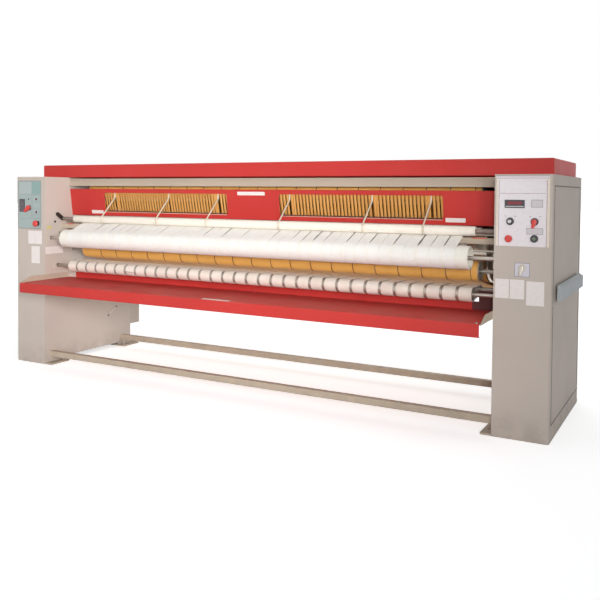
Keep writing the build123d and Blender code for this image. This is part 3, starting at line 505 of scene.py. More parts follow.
BAR_PAINT = painted("Top bar enamel", "#BCAA98", PRIMER, dust=0.5)
SPECIAL_FINISHES = {"speed_plate": SPEED_FILM, "takeup_brackets": FRAME_PAINT,
                    "top_bar": BAR_PAINT, "top_rail": BAR_PAINT}


def finish_nodes():
    """Give every CAD node the finish that the record names for it, or its special one."""
    for part in frame["record"]["subparts"]:
        materials = frame["nodes"][part["node"]].data.materials
        materials.clear()
        materials.append(SPECIAL_FINISHES.get(part["node"]) or FINISHES[part["material_slot"]])


# ------------------------------------------------------------------ mesh making
def point_on(axis, at, across):
    """The point at a place along an axis, with its two places across it."""
    u, v = across
    return {"x": (at, u, v), "y": (u, at, v), "z": (u, v, at)}[axis]


def seat_on(axis, x, y, z):
    """A point's place along an axis, and its two places across it."""
    return {"x": (x, (y, z)), "y": (y, (x, z)), "z": (z, (x, y))}[axis]


def run_at(path, i):
    """The direction of a path of points at its point number i, and the point before it."""
    before, after = path[max(i - 1, 0)], path[min(i + 1, len(path) - 1)]
    return Vector((after[0] - before[0], after[1] - before[1])).normalized(), before


class Stock:
    """The surfaces of one piece, gathered before it is made."""

    def __init__(self):
        self.points = []
        self.faces = []
        self.finishes = []
        self.cloth = []

    def skin(self, rings, looped=False, finish=0, along=None, across=None):
        """Join rings of points, each with as many points, and close open ends with caps."""
        first, many = len(self.points), len(rings[0])
        along = along or [0.0] * (len(rings) + 1)
        across = across or [0.0] * (many + 1)
        for ring in rings:
            self.points.extend(ring)
        for i in range(len(rings) if looped else len(rings) - 1):
            near = first + i * many
            far = first + (i + 1) % len(rings) * many
            for j in range(many):
                k = (j + 1) % many
                self.faces.append((near + j, near + k, far + k, far + j))
                self.finishes.append(finish)
                self.cloth.append(((across[j], along[i]), (across[j + 1], along[i]),
                                   (across[j + 1], along[i + 1]), (across[j], along[i + 1])))
        if looped:
            return
        for ring in (0, len(rings) - 1):
            start = first + ring * many
            self.faces.append(tuple(range(start, start + many)))
            self.finishes.append(finish)
            self.cloth.append(((0.0, 0.0),) * many)

    def turned(self, profile, centre, axis="x", steps=40, finish=0):
        """A turned shape: `profile` is (place along the axis, radius) from end to end."""
        angles = [2 * pi * k / steps for k in range(steps)]
        rings = [[point_on(axis, at, (centre[0] + radius * cos(a), centre[1] + radius * sin(a)))
                  for a in angles] for at, radius in profile]
        self.skin(rings, finish=finish)

    def tube(self, path, x, radius, steps=14):
        """A round rod along a path of (y, z) points in the plane X = x."""
        rings = []
        for i, (y, z) in enumerate(path):
            run, before = run_at(path, i)
            rings.append([(x + radius * cos(a), y - radius * sin(a) * run.y,
                           z + radius * sin(a) * run.x)
                          for a in (2 * pi * k / steps for k in range(steps))])
        self.skin(rings)

    def slab(self, low, high, corner=0.003, edge=0.0006, axis="y", finish=0, lean=0.0):
        """A plate with rounded corners and a small rounded edge, facing along `axis`.

        With a lean, the plate follows a face whose Y grows by `lean` per metre down.
        """
        low_w, (low_u, low_v) = seat_on(axis, *low)
        high_w, (high_u, high_v) = seat_on(axis, *high)
        edge = min(edge, (high_w - low_w) / 2.01)
        rings = []
        for w, inset in ((low_w, edge), (low_w + edge, 0.0), (high_w - edge, 0.0),
                         (high_w, edge)):
            r = max(corner - inset, 0.0001)
            right, left = high_u - inset - r, low_u + inset + r
            top, foot = high_v - inset - r, low_v + inset + r
            ring = []
            for quarter, (u, v) in enumerate(((right, top), (left, top), (left, foot),
                                              (right, foot))):
                for a in (pi / 2 * (quarter + k / 4) for k in range(5)):
                    x, y, z = point_on(axis, w, (u + r * cos(a), v + r * sin(a)))
                    ring.append((x, y + lean * (high[2] - z), z))
            rings.append(ring)
        self.skin(rings, finish=finish)

    def field(self, x0, x1, z0, z1, y, thick=0.0003, corner=0.0005, finish=0):
        """A thin printed field or line on a face that looks to the front."""
        self.slab((x0, y - thick, z0), (x1, y, z1), corner=corner, edge=0.0001, finish=finish)

    def frame_line(self, x0, x1, z0, z1, y, width, height, finish=0):
        """A printed line round a field, on a face that looks to the front."""
        for low, high in (((x0, z1 - width), (x1, z1)), ((x0, z0), (x1, z0 + width)),
                          ((x0, z0 + width), (x0 + width, z1 - width)),
                          ((x1 - width, z0 + width), (x1, z1 - width))):
            self.slab((low[0], y - height, low[1]), (high[0], y, high[1]), corner=width / 3,
                      edge=height / 3, finish=finish)

    def screw(self, x, y, z, radius, axis="y", outward=-1):
        """A pan-head screw with a round socket, its seat at the given point."""
        seat, centre = seat_on(axis, x, y, z)
        tall = radius * 0.6
        profile = ((0.0, radius), (tall * 0.5, radius), (tall * 0.85, radius * 0.86),
                   (tall, radius * 0.55), (tall, radius * 0.42), (tall * 0.35, radius * 0.40),
                   (tall * 0.35, radius * 0.02))
        self.turned([(seat + outward * at, r) for at, r in profile], centre, axis, 18)

    def hex_bolt(self, x, y, z, radius, axis="x", outward=1, finish=0):
        """A hexagon bolt head on its washer, its seat at the given point."""
        seat, centre = seat_on(axis, x, y, z)
        washer = radius * 0.22
        top = washer + radius * 0.75
        self.turned([(seat, radius * 1.35), (seat + outward * washer, radius * 1.35),
                     (seat + outward * washer, radius * 1.30)], centre, axis, 24, finish)
        self.turned([(seat + outward * washer, radius), (seat + outward * (top - 0.0008), radius),
                     (seat + outward * top, radius * 0.86)], centre, axis, 6, finish)

    def make(self, name, body, slot, finishes=None, stands_for=()):
        """Make the gathered surfaces into one piece that rides on a body."""
        mesh = bpy.data.meshes.new(name)
        mesh.from_pydata(self.points, [], self.faces)
        for finish in finishes or [FINISHES[slot]]:
            mesh.materials.append(finish)
        mesh.polygons.foreach_set("material_index", self.finishes)
        if any(spot != (0.0, 0.0) for face in self.cloth for spot in face):
            cloth_map = mesh.uv_layers.new(name="cloth")
            spots = [value for face in self.cloth for spot in face for value in spot]
            cloth_map.data.foreach_set("uv", spots)
        tidy = bmesh.new()
        tidy.from_mesh(mesh)
        bmesh.ops.recalc_face_normals(tidy, faces=tidy.faces)
        tidy.to_mesh(mesh)
        tidy.free()
        mesh.shade_smooth()
        mesh.set_sharp_from_angle(angle=radians(32))
        piece = bpy.data.objects.new(name, mesh)
        bpy.context.scene.collection.objects.link(piece)
        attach(piece, body)
        if stands_for:
            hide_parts(*stands_for)
        return piece


# ------------------------------------------------------------------ belts
def belt_line(wheels, bite=radians(7), stretch=0.05):
    """The inner face of a closed belt round its wheels, as (y, z, outward y, outward z, run).

    Each wheel is (y, z, radius), in the order that the belt meets them going anticlockwise.
    The belt bears with its outer face on a wheel of negative radius.  A step is at most about
    `bite` on a wheel and `stretch` between wheels.
    """
    reach = [r + BELT_CLEARANCE if r > 0 else r - BELT_CLEARANCE - BELT_THICKNESS
             for y, z, r in wheels]
    heading = []
    for i in range(len(wheels)):
        j = (i + 1) % len(wheels)
        dy, dz = wheels[j][0] - wheels[i][0], wheels[j][1] - wheels[i][1]
        heading.append(atan2(dz, dy) - asin((reach[j] - reach[i]) / hypot(dy, dz)))
    line = []
    for i, (y, z, radius) in enumerate(wheels):
        turn = (heading[i] - heading[i - 1]) % (2 * pi)
        if radius < 0:
            turn -= 2 * pi
        steps = max(2, round(abs(turn) / bite))
        for k in range(steps + 1):
            angle = heading[i - 1] + turn * k / steps
            line.append((y + reach[i] * sin(angle), z - reach[i] * cos(angle),
                         sin(angle), -cos(angle)))
        j = (i + 1) % len(wheels)
        start = line[-1]
        end = (wheels[j][0] + reach[j] * sin(heading[i]),
               wheels[j][1] - reach[j] * cos(heading[i]))
        steps = round(hypot(end[0] - start[0], end[1] - start[1]) / stretch)
        for share in (k / steps for k in range(1, steps)):
            line.append((start[0] + (end[0] - start[0]) * share,
                         start[1] + (end[1] - start[1]) * share, start[2], start[3]))
    run, measured = 0.0, []
    for i, (y, z, ny, nz) in enumerate(line):
        if i:
            run += hypot(y - line[i - 1][0], z - line[i - 1][1])
        measured.append((y, z, ny, nz, run))
    total = run + hypot(line[0][0] - line[-1][0], line[0][1] - line[-1][1])
    return measured, total


def lay_belt(stock, line, total, sides, crown=0.0004, soft=0.0009, finish=0):
    """One belt along a line; `sides(run)` gives its left and right X, `soft` its bevels."""
    back = WEB_THICKNESS
    rings = []
    for y, z, ny, nz, run in line:
        left, right = sides(run)
        web = ((left + soft, 0.0), (right - soft, 0.0), (right, back * 0.5),
               (right - soft, back), ((left + right * 3) / 4, back + crown),
               ((left + right) / 2, back + crown * 1.3), ((left * 3 + right) / 4, back + crown),
               (left + soft, back), (left, back * 0.5))
        rings.append([(x, y + ny * lift, z + nz * lift) for x, lift in web])
    left, right = sides(0.0)
    shares = (0.0, 1.0, 1.0, 1.0, 0.75, 0.5, 0.25, 0.0, 0.0, 0.0)
    stock.skin(rings, looped=True, finish=finish, along=[place[4] for place in line] + [total],
               across=[left + (right - left) * share for share in shares])


def wheel(name):
    """A roll as a wheel for a belt."""
    setback, height, radius = ROLLS[name]
    return behind(setback), height, radius


def belt_lefts(count, pitch, wide):
    """The left edges of evenly spaced belts, centred on the machine."""
    return [(i - (count - 1) / 2) * pitch - wide / 2 for i in range(count)]


FEED_BELTS = 39
FEED_PITCH = 0.074
FEED_TOUCHING = 0.0002                     # the slit between two feed belts where they touch
FEED_SLITS = (0.0014, 0.0026, 0.0044, 0.0060, 0.0080, 0.0105)    # its widths elsewhere


def make_feed_belts():
    """Thirty-nine feed belts: they touch low on the plane, just above the roll, and part above.

    They also stand apart round the roll, where its white cover shows in the slits.
    """
    line, total = belt_line([wheel("feed_roll"), wheel("feed_nose_roll")], stretch=0.006)
    chance = random.Random(11)
    slits = [(chance.choice(FEED_SLITS), chance.uniform(0.000, 0.012),
              chance.uniform(0.006, 0.012)) for k in range(FEED_BELTS + 1)]

    def half_slit(k, up):
        """Half of a slit's width, this far up the plane from where the roll begins."""
        wide, opens, taper = slits[k]
        share = min(max((up - opens) / taper, 0.0), 1.0)
        return (FEED_TOUCHING + (wide - FEED_TOUCHING) * share) / 2

    stock = Stock()
    for i, left in enumerate(belt_lefts(FEED_BELTS, FEED_PITCH, FEED_PITCH)):
        # the line ends where the plane meets the roll, so total - run leads back up the plane
        lay_belt(stock, line, total, crown=0.0001, soft=0.0003, sides=lambda run, i=i, a=left: (
            a + half_slit(i, total - run), a + FEED_PITCH - half_slit(i + 1, total - run)))
    stock.make("feed_belt_webs", "base", "cream_webbing", [FEED_WEBBING],
               stands_for=["feed_belts"])


IRONING_BELTS = 20
IRONING_PITCH = 0.1468
IRONING_WIDTH = 0.1448
SELVAGE = 0.0016                           # the dark red edge on both sides of a belt
FILLER_END = 1.505                         # the plain webs at both ends reach this far
FILLER_GAP = 0.0020


def make_ironing_belts():
    """Twenty wide amber belts with dark red selvages; plain webs fill up to the rolls' ends."""
    setback, height, radius = CYLINDER
    wheels = [wheel("front_lower_roll"), wheel("rear_lower_roll"), wheel("rear_top_roll"),
              wheel("top_front_roll"), (behind(setback), height, -radius)]
    line, total = belt_line(wheels, bite=radians(8), stretch=0.12)
    stock = Stock()
    for i, left in enumerate(belt_lefts(IRONING_BELTS, IRONING_PITCH, IRONING_WIDTH)):
        right = left + IRONING_WIDTH
        web, seam = 0, 1
        strips = [(left, left + SELVAGE, seam), (left + SELVAGE, right - SELVAGE, web),
                  (right - SELVAGE, right, seam)]
        if i == 0:
            strips[:2] = [(-FILLER_END, right - SELVAGE, web)]
        if i == IRONING_BELTS - 1:
            strips.append((right + FILLER_GAP, FILLER_END - 0.0010, web))
        for low, high, finish in strips:
            lay_belt(stock, line, total, lambda run, a=low, b=high: (a, b), finish=finish,
                     crown=0.0 if finish == seam else 0.0005)
    stock.make("ironing_belt_webs", "base", "amber_webbing", [AMBER_WEBBING, SEAM_WEBBING],
               stands_for=["ironing_belts"])


RETURN_BELTS = 33
RETURN_PITCH = 0.0922
RETURN_WIDTH = 0.074
JOINT_BELT = 6                             # the seventh belt from the left shows its joint


def make_return_belts():
    """Thirty-three narrow cream belts with the roll showing between them, and a belt's joint."""
    line, total = belt_line([wheel("return_roll"), wheel("return_rear_roll")])
    stock = Stock()
    lefts = belt_lefts(RETURN_BELTS, RETURN_PITCH, RETURN_WIDTH)
    for left in lefts:
        lay_belt(stock, line, total, lambda run, a=left: (a, a + RETURN_WIDTH))
    setback, height, radius = ROLLS["return_roll"]
    left = lefts[JOINT_BELT]
    face = behind(setback) - radius - BELT_CLEARANCE - BELT_THICKNESS
    stock.slab((left + 0.002, face - 0.0008, height - 0.0112),
               (left + RETURN_WIDTH - 0.002, face + 0.0030, height - 0.0082), edge=0.0003,
               finish=1)
    stock.make("return_belt_webs", "base", "cream_webbing", [CREAM_WEBBING, SPLICE_WEBBING],
               stands_for=["return_belts"])


# ------------------------------------------------------------------ rolls and cylinder
ROLL_WALL = 0.004
ROLL_HUB = 0.021
FEED_RECESS = 0.066                        # how deep the feed roll's end discs lie
FEED_HUB = 0.022
DISC_BOLTS = 12
DISC_BOLT_CIRCLE = 0.190                   # the radius on which the cylinder's bolts sit


def mirrored(half):
    """A whole profile from its right half, which runs from the middle outwards."""
    return [(-x, r) for x, r in reversed(half)] + list(half)


def signed(sign, profile):
    """A profile at the right or left end, by the sign of X."""
    return [(sign * at, r) for at, r in profile]


def around(centre, radius, count, first=0.0):
    """Evenly spaced points (y, z) on a circle."""
    angles = [2 * pi * (k + first) / count for k in range(count)]
    return [(centre[0] + radius * cos(a), centre[1] + radius * sin(a)) for a in angles]


def roll_profile(radius, recess):
    """A tube with a bevelled rim, a recessed end disc, a hub and its shaft."""
    rim = ROLL_HALF_FACE
    disc = rim - recess
    bore = radius - ROLL_WALL
    hub = min(ROLL_HUB, bore - 0.002)
    return mirrored([
        (rim * 0.5, radius), (rim - 0.0012, radius), (rim, radius - 0.0012), (rim, bore),
        (disc, bore - 0.0006), (disc, hub + 0.002), (disc + 0.002, hub), (disc + 0.009, hub),
        (disc + 0.011, hub - 0.002), (disc + 0.011, SHAFT_RADIUS),
        (SHAFT_END - 0.0016, SHAFT_RADIUS), (SHAFT_END, SHAFT_RADIUS - 0.0016)])


def make_feed_roll():
    """The feed roll: its white cover stands level with the belts beyond them, its ends deep."""
    setback, height, radius = ROLLS["feed_roll"]
    centre = (behind(setback), height)
    cover = radius + BELT_CLEARANCE + WEB_THICKNESS
    edge = FEED_BELTS * FEED_PITCH / 2 + 0.0012
    rim = ROLL_HALF_FACE
    disc = rim - FEED_RECESS
    stock = Stock()
    stock.turned(mirrored([
        (0.7, radius), (edge, radius), (edge, cover), (rim - 0.0020, cover),
        (rim, cover - 0.0020), (rim, radius - 0.0040), (disc, radius - 0.0046),
        (disc, 0.0010)]), centre, steps=56)
    for sign in SIDES:
        stock.turned(signed(sign, (
            (disc, FEED_HUB), (disc + 0.010, FEED_HUB), (disc + 0.012, FEED_HUB - 0.002),
            (disc + 0.012, SHAFT_RADIUS), (SHAFT_END - 0.0016, SHAFT_RADIUS),
            (SHAFT_END, SHAFT_RADIUS - 0.0016))), centre, steps=32, finish=1)
    stock.make("feed_roll_turned", "feed_roll", "white_roll", [WHITE_ROLL, ROLL_STEEL],
               stands_for=["feed_roll"])


def make_rolls():
    """The seven steel rolls that carry belts, with screws in the end discs of the wider ones."""
    for name, (setback, height, radius) in ROLLS.items():
        if name == "feed_roll":
            continue
        recess = 0.022 if radius > 0.05 else 0.012
        centre = (behind(setback), height)
        stock = Stock()
        stock.turned(roll_profile(radius, recess), centre, steps=48)
        if radius > 0.04:
            for sign in SIDES:
                for y, z in around(centre, (radius + ROLL_HUB) / 2, 6, first=0.5):
                    stock.screw(sign * (ROLL_HALF_FACE - recess), y, z, 0.0035, "x", sign)
        stock.make(name + "_turned", name, "roll_steel", stands_for=[name])


def make_press_roll():
    """The thin white roll that the guide fingers reach over, with a sleeve at each end."""
    setback, height, radius = PRESS_ROLL
    centre = (behind(setback), height)
    rim = ROLL_HALF_FACE
    stock = Stock()
    stock.turned(mirrored([
        (rim - 0.003, radius), (rim - 0.0008, radius - 0.001), (rim, radius - 0.003),
        (rim, 0.013), (rim - 0.004, 0.0125), (rim - 0.004, 0.008), (INNER_X - 0.005, 0.008),
        (INNER_X - 0.004, 0.007)]), centre, steps=48)
    for sign in SIDES:
        stock.turned(signed(sign, (
            (rim - 0.0030, 0.0122), (rim + 0.0010, 0.0132), (INNER_X - 0.0250, 0.0132),
            (INNER_X - 0.0230, 0.0115))), centre, finish=1)
    stock.make("press_roll_turned", "press_roll", "white_roll", [PRESS_COVER, SLEEVE_METAL],
               stands_for=["press_roll"])


def make_cylinder():
    """The heated cylinder, with bolted end discs and hollow journals."""
    setback, height, radius = CYLINDER
    centre = (behind(setback), height)
    face = CYLINDER_HALF_FACE
    disc = face - 0.012
    stock = Stock()
    stock.turned(mirrored([
        (face * 0.5, radius), (face - 0.002, radius), (face, radius - 0.002),
        (face, radius - 0.010), (disc, radius - 0.011), (disc, 0.105), (face - 0.004, 0.100),
        (face - 0.004, 0.068), (face + 0.002, JOURNAL_RADIUS),
        (JOURNAL_END - 0.002, JOURNAL_RADIUS), (JOURNAL_END, JOURNAL_RADIUS - 0.002),
        (JOURNAL_END, JOURNAL_BORE), (JOURNAL_END - 0.16, JOURNAL_BORE - 0.0005)]),
        centre, steps=96)
    for sign in SIDES:
        for y, z in around(centre, DISC_BOLT_CIRCLE, DISC_BOLTS):
            stock.hex_bolt(sign * disc, y, z, 0.006, "x", sign)
    stock.make("heated_cylinder_turned", "cylinder", "polished_steel",
               stands_for=["heated_cylinder"])


# ------------------------------------------------------------------ fingers, tapes and rods
def arc_points(centre, radius, start, end, steps):
    """Points (y, z) along an arc, its angles measured from +Y towards +Z."""
    return [(centre[0] + radius * cos(start + (end - start) * k / steps),
             centre[1] + radius * sin(start + (end - start) * k / steps))
            for k in range(steps + 1)]


FINGER_STATIONS = (-1.216, -0.716, -0.292, 0.267, 0.843, 1.217)
FINGER_RADIUS = 0.005
FINGER_BAR = (0.266, 1.287, 0.008)         # setback, height, half size
FINGER_BEND = 0.026
FINGER_SLOPE = radians(45)
FINGER_CURL = radians(42)                  # past the front of the press roll
FINGER_GAP = 0.008


def make_fingers():
    """Bent rods: down behind the window, forward over the press roll and round its front."""
    setback, height, radius = PRESS_ROLL
    centre = (behind(setback), height)
    wrap = radius + FINGER_GAP + FINGER_RADIUS
    top_y = behind(FINGER_BAR[0])
    touch = (centre[0] - wrap * sin(FINGER_SLOPE), centre[1] + wrap * cos(FINGER_SLOPE))
    corner_z = touch[1] + (top_y - touch[0]) * tan(FINGER_SLOPE)
    trim = FINGER_BEND * tan((pi / 2 - FINGER_SLOPE) / 2)
    path = [(top_y, FINGER_BAR[1] + FINGER_BAR[2] + 0.001), (top_y, corner_z + trim)]
    path += arc_points((top_y - FINGER_BEND, corner_z + trim), FINGER_BEND, 0.0,
                       -(pi / 2 - FINGER_SLOPE), 6)[1:]
    path += arc_points(centre, wrap, pi / 2 + FINGER_SLOPE, pi + FINGER_CURL, 12)
    end, before = path[-1], path[-2]
    run = Vector((end[0] - before[0], end[1] - before[1])).normalized()
    tip = [end, (end[0] + run.x * 0.0012, end[1] + run.y * 0.0012)]
    stock = Stock()
    for x in FINGER_STATIONS:
        stock.tube(path, x, FINGER_RADIUS)
        stock.tube(tip, x, FINGER_RADIUS * 0.8)
    stock.make("guide_finger_rods", "base", "zinc_steel", [FINGER_METAL],
               stands_for=["guide_fingers"])


TAPE_PITCH = 0.024
TAPE_WIDTH = 0.0165
TAPES_PER_WINDOW = 48
TAPE_GAP = 0.0006                          # least room between two tapes
TAPE_CLEARANCE = 0.0010                    # room between a tape and a guide finger
WINDOWS = ((-1.311, -0.216), (0.192, 1.291))   # their X limits
TAPE_BAR = (0.282, 1.290, 0.006)           # setback, height, half size
TAPE_ROD = (0.306, 1.115, 0.005)           # setback, height, radius


def tape_places(x0, x1):
    """The middles of one window's tapes, moved aside where a guide finger passes."""
    middles = [(x0 + x1) / 2 + (i - (TAPES_PER_WINDOW - 1) / 2) * TAPE_PITCH
               for i in range(TAPES_PER_WINDOW)]
    beside = FINGER_RADIUS + TAPE_WIDTH / 2 + TAPE_CLEARANCE
    least = TAPE_WIDTH + TAPE_GAP
    for finger in FINGER_STATIONS:
        if not x0 < finger < x1:
            continue
        after = next(i for i, x in enumerate(middles) if x >= finger)
        reach = finger + beside
        for i in range(after, len(middles)):
            middles[i] = max(middles[i], reach)
            reach = middles[i] + least
        reach = finger - beside
        for i in range(after - 1, -1, -1):
            middles[i] = min(middles[i], reach)
            reach = middles[i] - least
    return middles


def tape_path():
    """A tape's path (y, z): from the tape bar over the finger bar and down to the lower rod."""
    finger_y, half = behind(FINGER_BAR[0]), FINGER_BAR[2]
    bar_top = FINGER_BAR[1] + half
    path = [(behind(TAPE_BAR[0]), TAPE_BAR[1] + TAPE_BAR[2] + 0.0006),
            (finger_y + half, bar_top + 0.0008), (finger_y - half + 0.0010, bar_top + 0.0006),
            (finger_y - half - 0.0006, bar_top - 0.0014)]
    start = path[-1]
    foot = (behind(TAPE_ROD[0]) - TAPE_ROD[2] - 0.0012, TAPE_ROD[1])
    path += [(start[0] + (foot[0] - start[0]) * k / 8, start[1] + (foot[1] - start[1]) * k / 8)
             for k in range(1, 9)]
    return path


def make_tapes():
    """Narrow crowned tapes behind both windows."""
    path = tape_path()
    length, along, outward = 0.0, [], []
    for i, (y, z) in enumerate(path):
        run, before = run_at(path, i)
        outward.append((run.y, -run.x))
        length += hypot(y - before[0], z - before[1])
        along.append(length)
    along.append(length)
    half = TAPE_WIDTH / 2
    bow = [(share * half, lift) for share, lift in (
        (-1.0, 0.0), (-0.5, -0.0002), (0.5, -0.0002), (1.0, 0.0), (0.82, 0.0014),
        (0.4, 0.0024), (0.0, 0.0027), (-0.4, 0.0024), (-0.82, 0.0014))]
    stock = Stock()
    for x0, x1 in WINDOWS:
        for middle in tape_places(x0, x1):
            rings = [[(middle + x, y + out[0] * lift, z + out[1] * lift) for x, lift in bow]
                     for (y, z), out in zip(path, outward)]
            stock.skin(rings, across=[x for x, lift in bow] + [-half], along=along)
    stock.make("guide_tape_webs", "base", "amber_webbing", [TAPE_WEBBING],
               stands_for=["guide_tapes"])


def make_tape_bars():
    """The upper bar and the lower rod of the tapes, and the rod's end collars."""
    stock = Stock()
    setback, height, half = TAPE_BAR
    stock.slab((-INNER_X, behind(setback) - half, height - half),
               (INNER_X, behind(setback) + half, height + half), corner=0.001, edge=0.001,
               axis="x")
    setback, height, radius = TAPE_ROD
    centre = (behind(setback), height)
    stock.turned(mirrored([(1.0, radius), (INNER_X, radius)]), centre, steps=24)
    for sign in SIDES:
        stock.turned(signed(sign, ((INNER_X - 0.010, 0.011), (INNER_X - 0.0005, 0.011))),
                     centre, steps=24)
    stock.make("tape_bar_and_rod", "base", "zinc_steel", stands_for=["tape_bars"])


FEED_RODS = ((0.150, 0.971, 0.006), (0.215, 1.056, 0.005))     # setback, height, radius


def make_tie_rods():
    """The two round rods behind the feed belts, with a nut at each end."""
    stock = Stock()
    for setback, height, radius in FEED_RODS:
        centre = (behind(setback), height)
        stock.turned(mirrored([(1.0, radius), (INNER_X, radius)]), centre, steps=24)
        for sign in SIDES:
            stock.hex_bolt(sign * INNER_X, centre[0], centre[1], radius * 1.7, "x", -sign)
    stock.make("feed_tie_rod_bars", "base", "zinc_steel", stands_for=["feed_tie_rods"])


JACK_X = INNER_X - 0.032
JACK_INSET = 0.180 - 0.028                 # from the front, and from the foot plates' rear edge
THREAD_TURNS = 20
THREAD_PITCH = 0.002


def make_feet_screws():
    """Levelling screws with thread, lock nut and hexagon head."""
    foot_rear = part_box("foot_plates")[1].y
    thread = []
    for turn in range(THREAD_TURNS):
        z = turn * THREAD_PITCH
        thread += [(z, 0.0070), (z + THREAD_PITCH / 2, 0.0079)]
    thread.append((0.044, 0.0070))
    nut = [(0.0122, 0.0125), (0.0195, 0.0125), (0.0200, 0.0118)]
    head = [(0.0435, 0.0128), (0.0510, 0.0128), (0.0520, 0.0112)]
    stock = Stock()
    for sign in SIDES:
        for y in (FRONT + JACK_INSET, foot_rear - JACK_INSET):
            centre = (sign * JACK_X, y)
            stock.turned(thread, centre, "z", 20)
            stock.turned(nut, centre, "z", 6)
            stock.turned(head, centre, "z", 6)
    stock.make("levelling_jack_screws", "base", "zinc_steel",
               stands_for=["levelling_screws"])


# ------------------------------------------------------------------ the controls
PANEL_FACE = FRONT - 0.003
SEAT = FRONT - 0.002                       # the printed face inside the panel's rim
BEZEL_FACE = SEAT - 0.005
LEVER_BACK = BEZEL_FACE - 0.0003
BUTTON_BACK = BEZEL_FACE - 0.0043
STEM_RADIUS = 0.0085
STEM_END = BEZEL_FACE + 0.006
SELECTOR = (1.737, 1.145)                  # x and z of each control
MODE = (1.861, 1.145)
STOP = (1.732, 1.055)
START = (1.861, 1.058)
MAIN_SWITCH = (-1.813, 1.160)
EMERGENCY = (-1.727, 1.044)
SPEED = (1.802, 0.905)
LAMPS = ((-1.740, 1.224), (-1.740, 1.128))
BEZELS = ((SELECTOR, 0), (MODE, 0), (STOP, 2), (START, 0), (MAIN_SWITCH, 0), (EMERGENCY, 0),
          (SPEED, 1))                      # each with its finish: 0 black, 1 zinc, 2 pale


def outward_from(back, profile):
    """A turned profile that rises from a face towards the front."""
    return [(back - tall, radius) for tall, radius in profile]


def make_bezels():
    """The fixed rings round the knobs and buttons, with their bodies behind the sheet."""
    stock = Stock()
    for place, finish in BEZELS:
        stock.turned([(SEAT, 0.0200), (BEZEL_FACE + 0.0012, 0.0196), (BEZEL_FACE, 0.0180),
                      (BEZEL_FACE, 0.0120), (BEZEL_FACE + 0.0012, 0.0110),
                      (FRONT + 0.030, 0.0105)], place, "y", 40, finish)
    stock.make("control_bezels", "base", "black_plastic",
               [BLACK_PLASTIC, ZINC_STEEL, WHITE_INSERT], stands_for=["switch_bodies"])


def make_selector():
    """A black knob with a grip bar across it, and a pale round cap with a black pointer."""
    x, z = SELECTOR
    face = LEVER_BACK
    stock = Stock()
    stock.turned(outward_from(face, ((0.0, 0.0185), (0.0060, 0.0178), (0.0072, 0.0165),
                                     (0.0072, 0.0020))), SELECTOR, "y", 40)
    stock.slab((x - 0.0050, face - 0.0165, z - 0.0185), (x + 0.0050, face - 0.0060, z + 0.0185),
               corner=0.0045, edge=0.0012)
    stock.turned(outward_from(face, ((0.0070, 0.0092), (0.0172, 0.0090), (0.0180, 0.0080),
                                     (0.0182, 0.0010))), SELECTOR, "y", 32, finish=1)
    stock.slab((x - 0.0008, face - 0.0186, z + 0.0010), (x + 0.0008, face - 0.0180, z + 0.0078),
               corner=0.0006, edge=0.0001)
    stock.make("selector_grip", "selector_knob", "black_plastic", [BLACK_PLASTIC, WHITE_INSERT],
               stands_for=["selector_knob"])


def lever_outline(hub, reach, tip, tilt):
    """The outline (x, z) of a lever from its hub at the origin, hanging down at a tilt."""
    slant = asin((hub - tip) / reach)
    points = [(hub * cos(a), hub * sin(a))
              for a in (-slant + (pi + 2 * slant) * k / 18 for k in range(19))]
    points += [(tip * cos(a), -reach + tip * sin(a))
               for a in (pi + slant + (pi - 2 * slant) * k / 12 for k in range(13))]
    return [(x * cos(tilt) - z * sin(tilt), x * sin(tilt) + z * cos(tilt)) for x, z in points]


def make_lever(name, body, place, size, slot, tilt):
    """A turning lever: hub with a cap screw, and a tapered arm with soft edges."""
    hub, reach, tip, thick = size
    x, z = place
    soft = 0.0016
    rings = []
    for depth, inset in ((0.0, 0.0), (thick - soft, 0.0), (thick - soft * 0.4, soft * 0.5),
                         (thick, soft * 1.4)):
        rings.append([(x + px, LEVER_BACK - depth, z + pz) for px, pz in
                      lever_outline(hub - inset, reach, max(tip - inset, 0.001), tilt)])
    stock = Stock()
    stock.skin(rings)
    stock.turned(outward_from(LEVER_BACK, ((thick, hub * 0.46), (thick + 0.0012, hub * 0.44),
                                           (thick + 0.0018, hub * 0.30))), place, "y", 28)
    stock.make(name, body, slot, stands_for=[body])


def make_button(name, body, place, radius, tall, neck):
    """A red push button with a domed face, on a black neck."""
    back = BUTTON_BACK - neck
    top = back - tall
    stock = Stock()
    dome = [(top + 0.0012 * (1 - cos(a)) + 0.0018 * sin(a) ** 6, radius * 0.93 * sin(a))
            for a in (pi / 2 * k / 8 for k in range(1, 8))]
    stock.turned([(top, 0.0006)] + dome
                 + [(top + 0.0030, radius * 0.93), (top + 0.0050, radius),
                    (back - 0.0008, radius), (back, radius * 0.94), (back, STEM_RADIUS)],
                 place, "y", 44)
    stock.turned([(back - 0.001, STEM_RADIUS), (STEM_END, STEM_RADIUS)], place, "y", 30,
                 finish=1)
    stock.make(name, body, "red_plastic", [FINISHES["red_plastic"], BLACK_PLASTIC],
               stands_for=[body])


def make_start_button():
    """A small grey green button in a raised black collar."""
    stock = Stock()
    stock.turned(outward_from(BUTTON_BACK, (
        (0.0072, 0.0010), (0.0070, 0.0060), (0.0062, 0.0088), (0.0050, 0.0096),
        (0.0010, 0.0096))), START, "y", 32)
    stock.turned(outward_from(BUTTON_BACK, (
        (0.0012, 0.0094), (0.0078, 0.0104), (0.0098, 0.0124), (0.0100, 0.0150),
        (0.0086, 0.0168), (0.0, 0.0170), (0.0, STEM_RADIUS)))
        + [(STEM_END, STEM_RADIUS)], START, "y", 40, finish=1)
    stock.make("start_button_cap", "start_button", "green_plastic",
               [FINISHES["green_plastic"], BLACK_PLASTIC], stands_for=["start_button"])


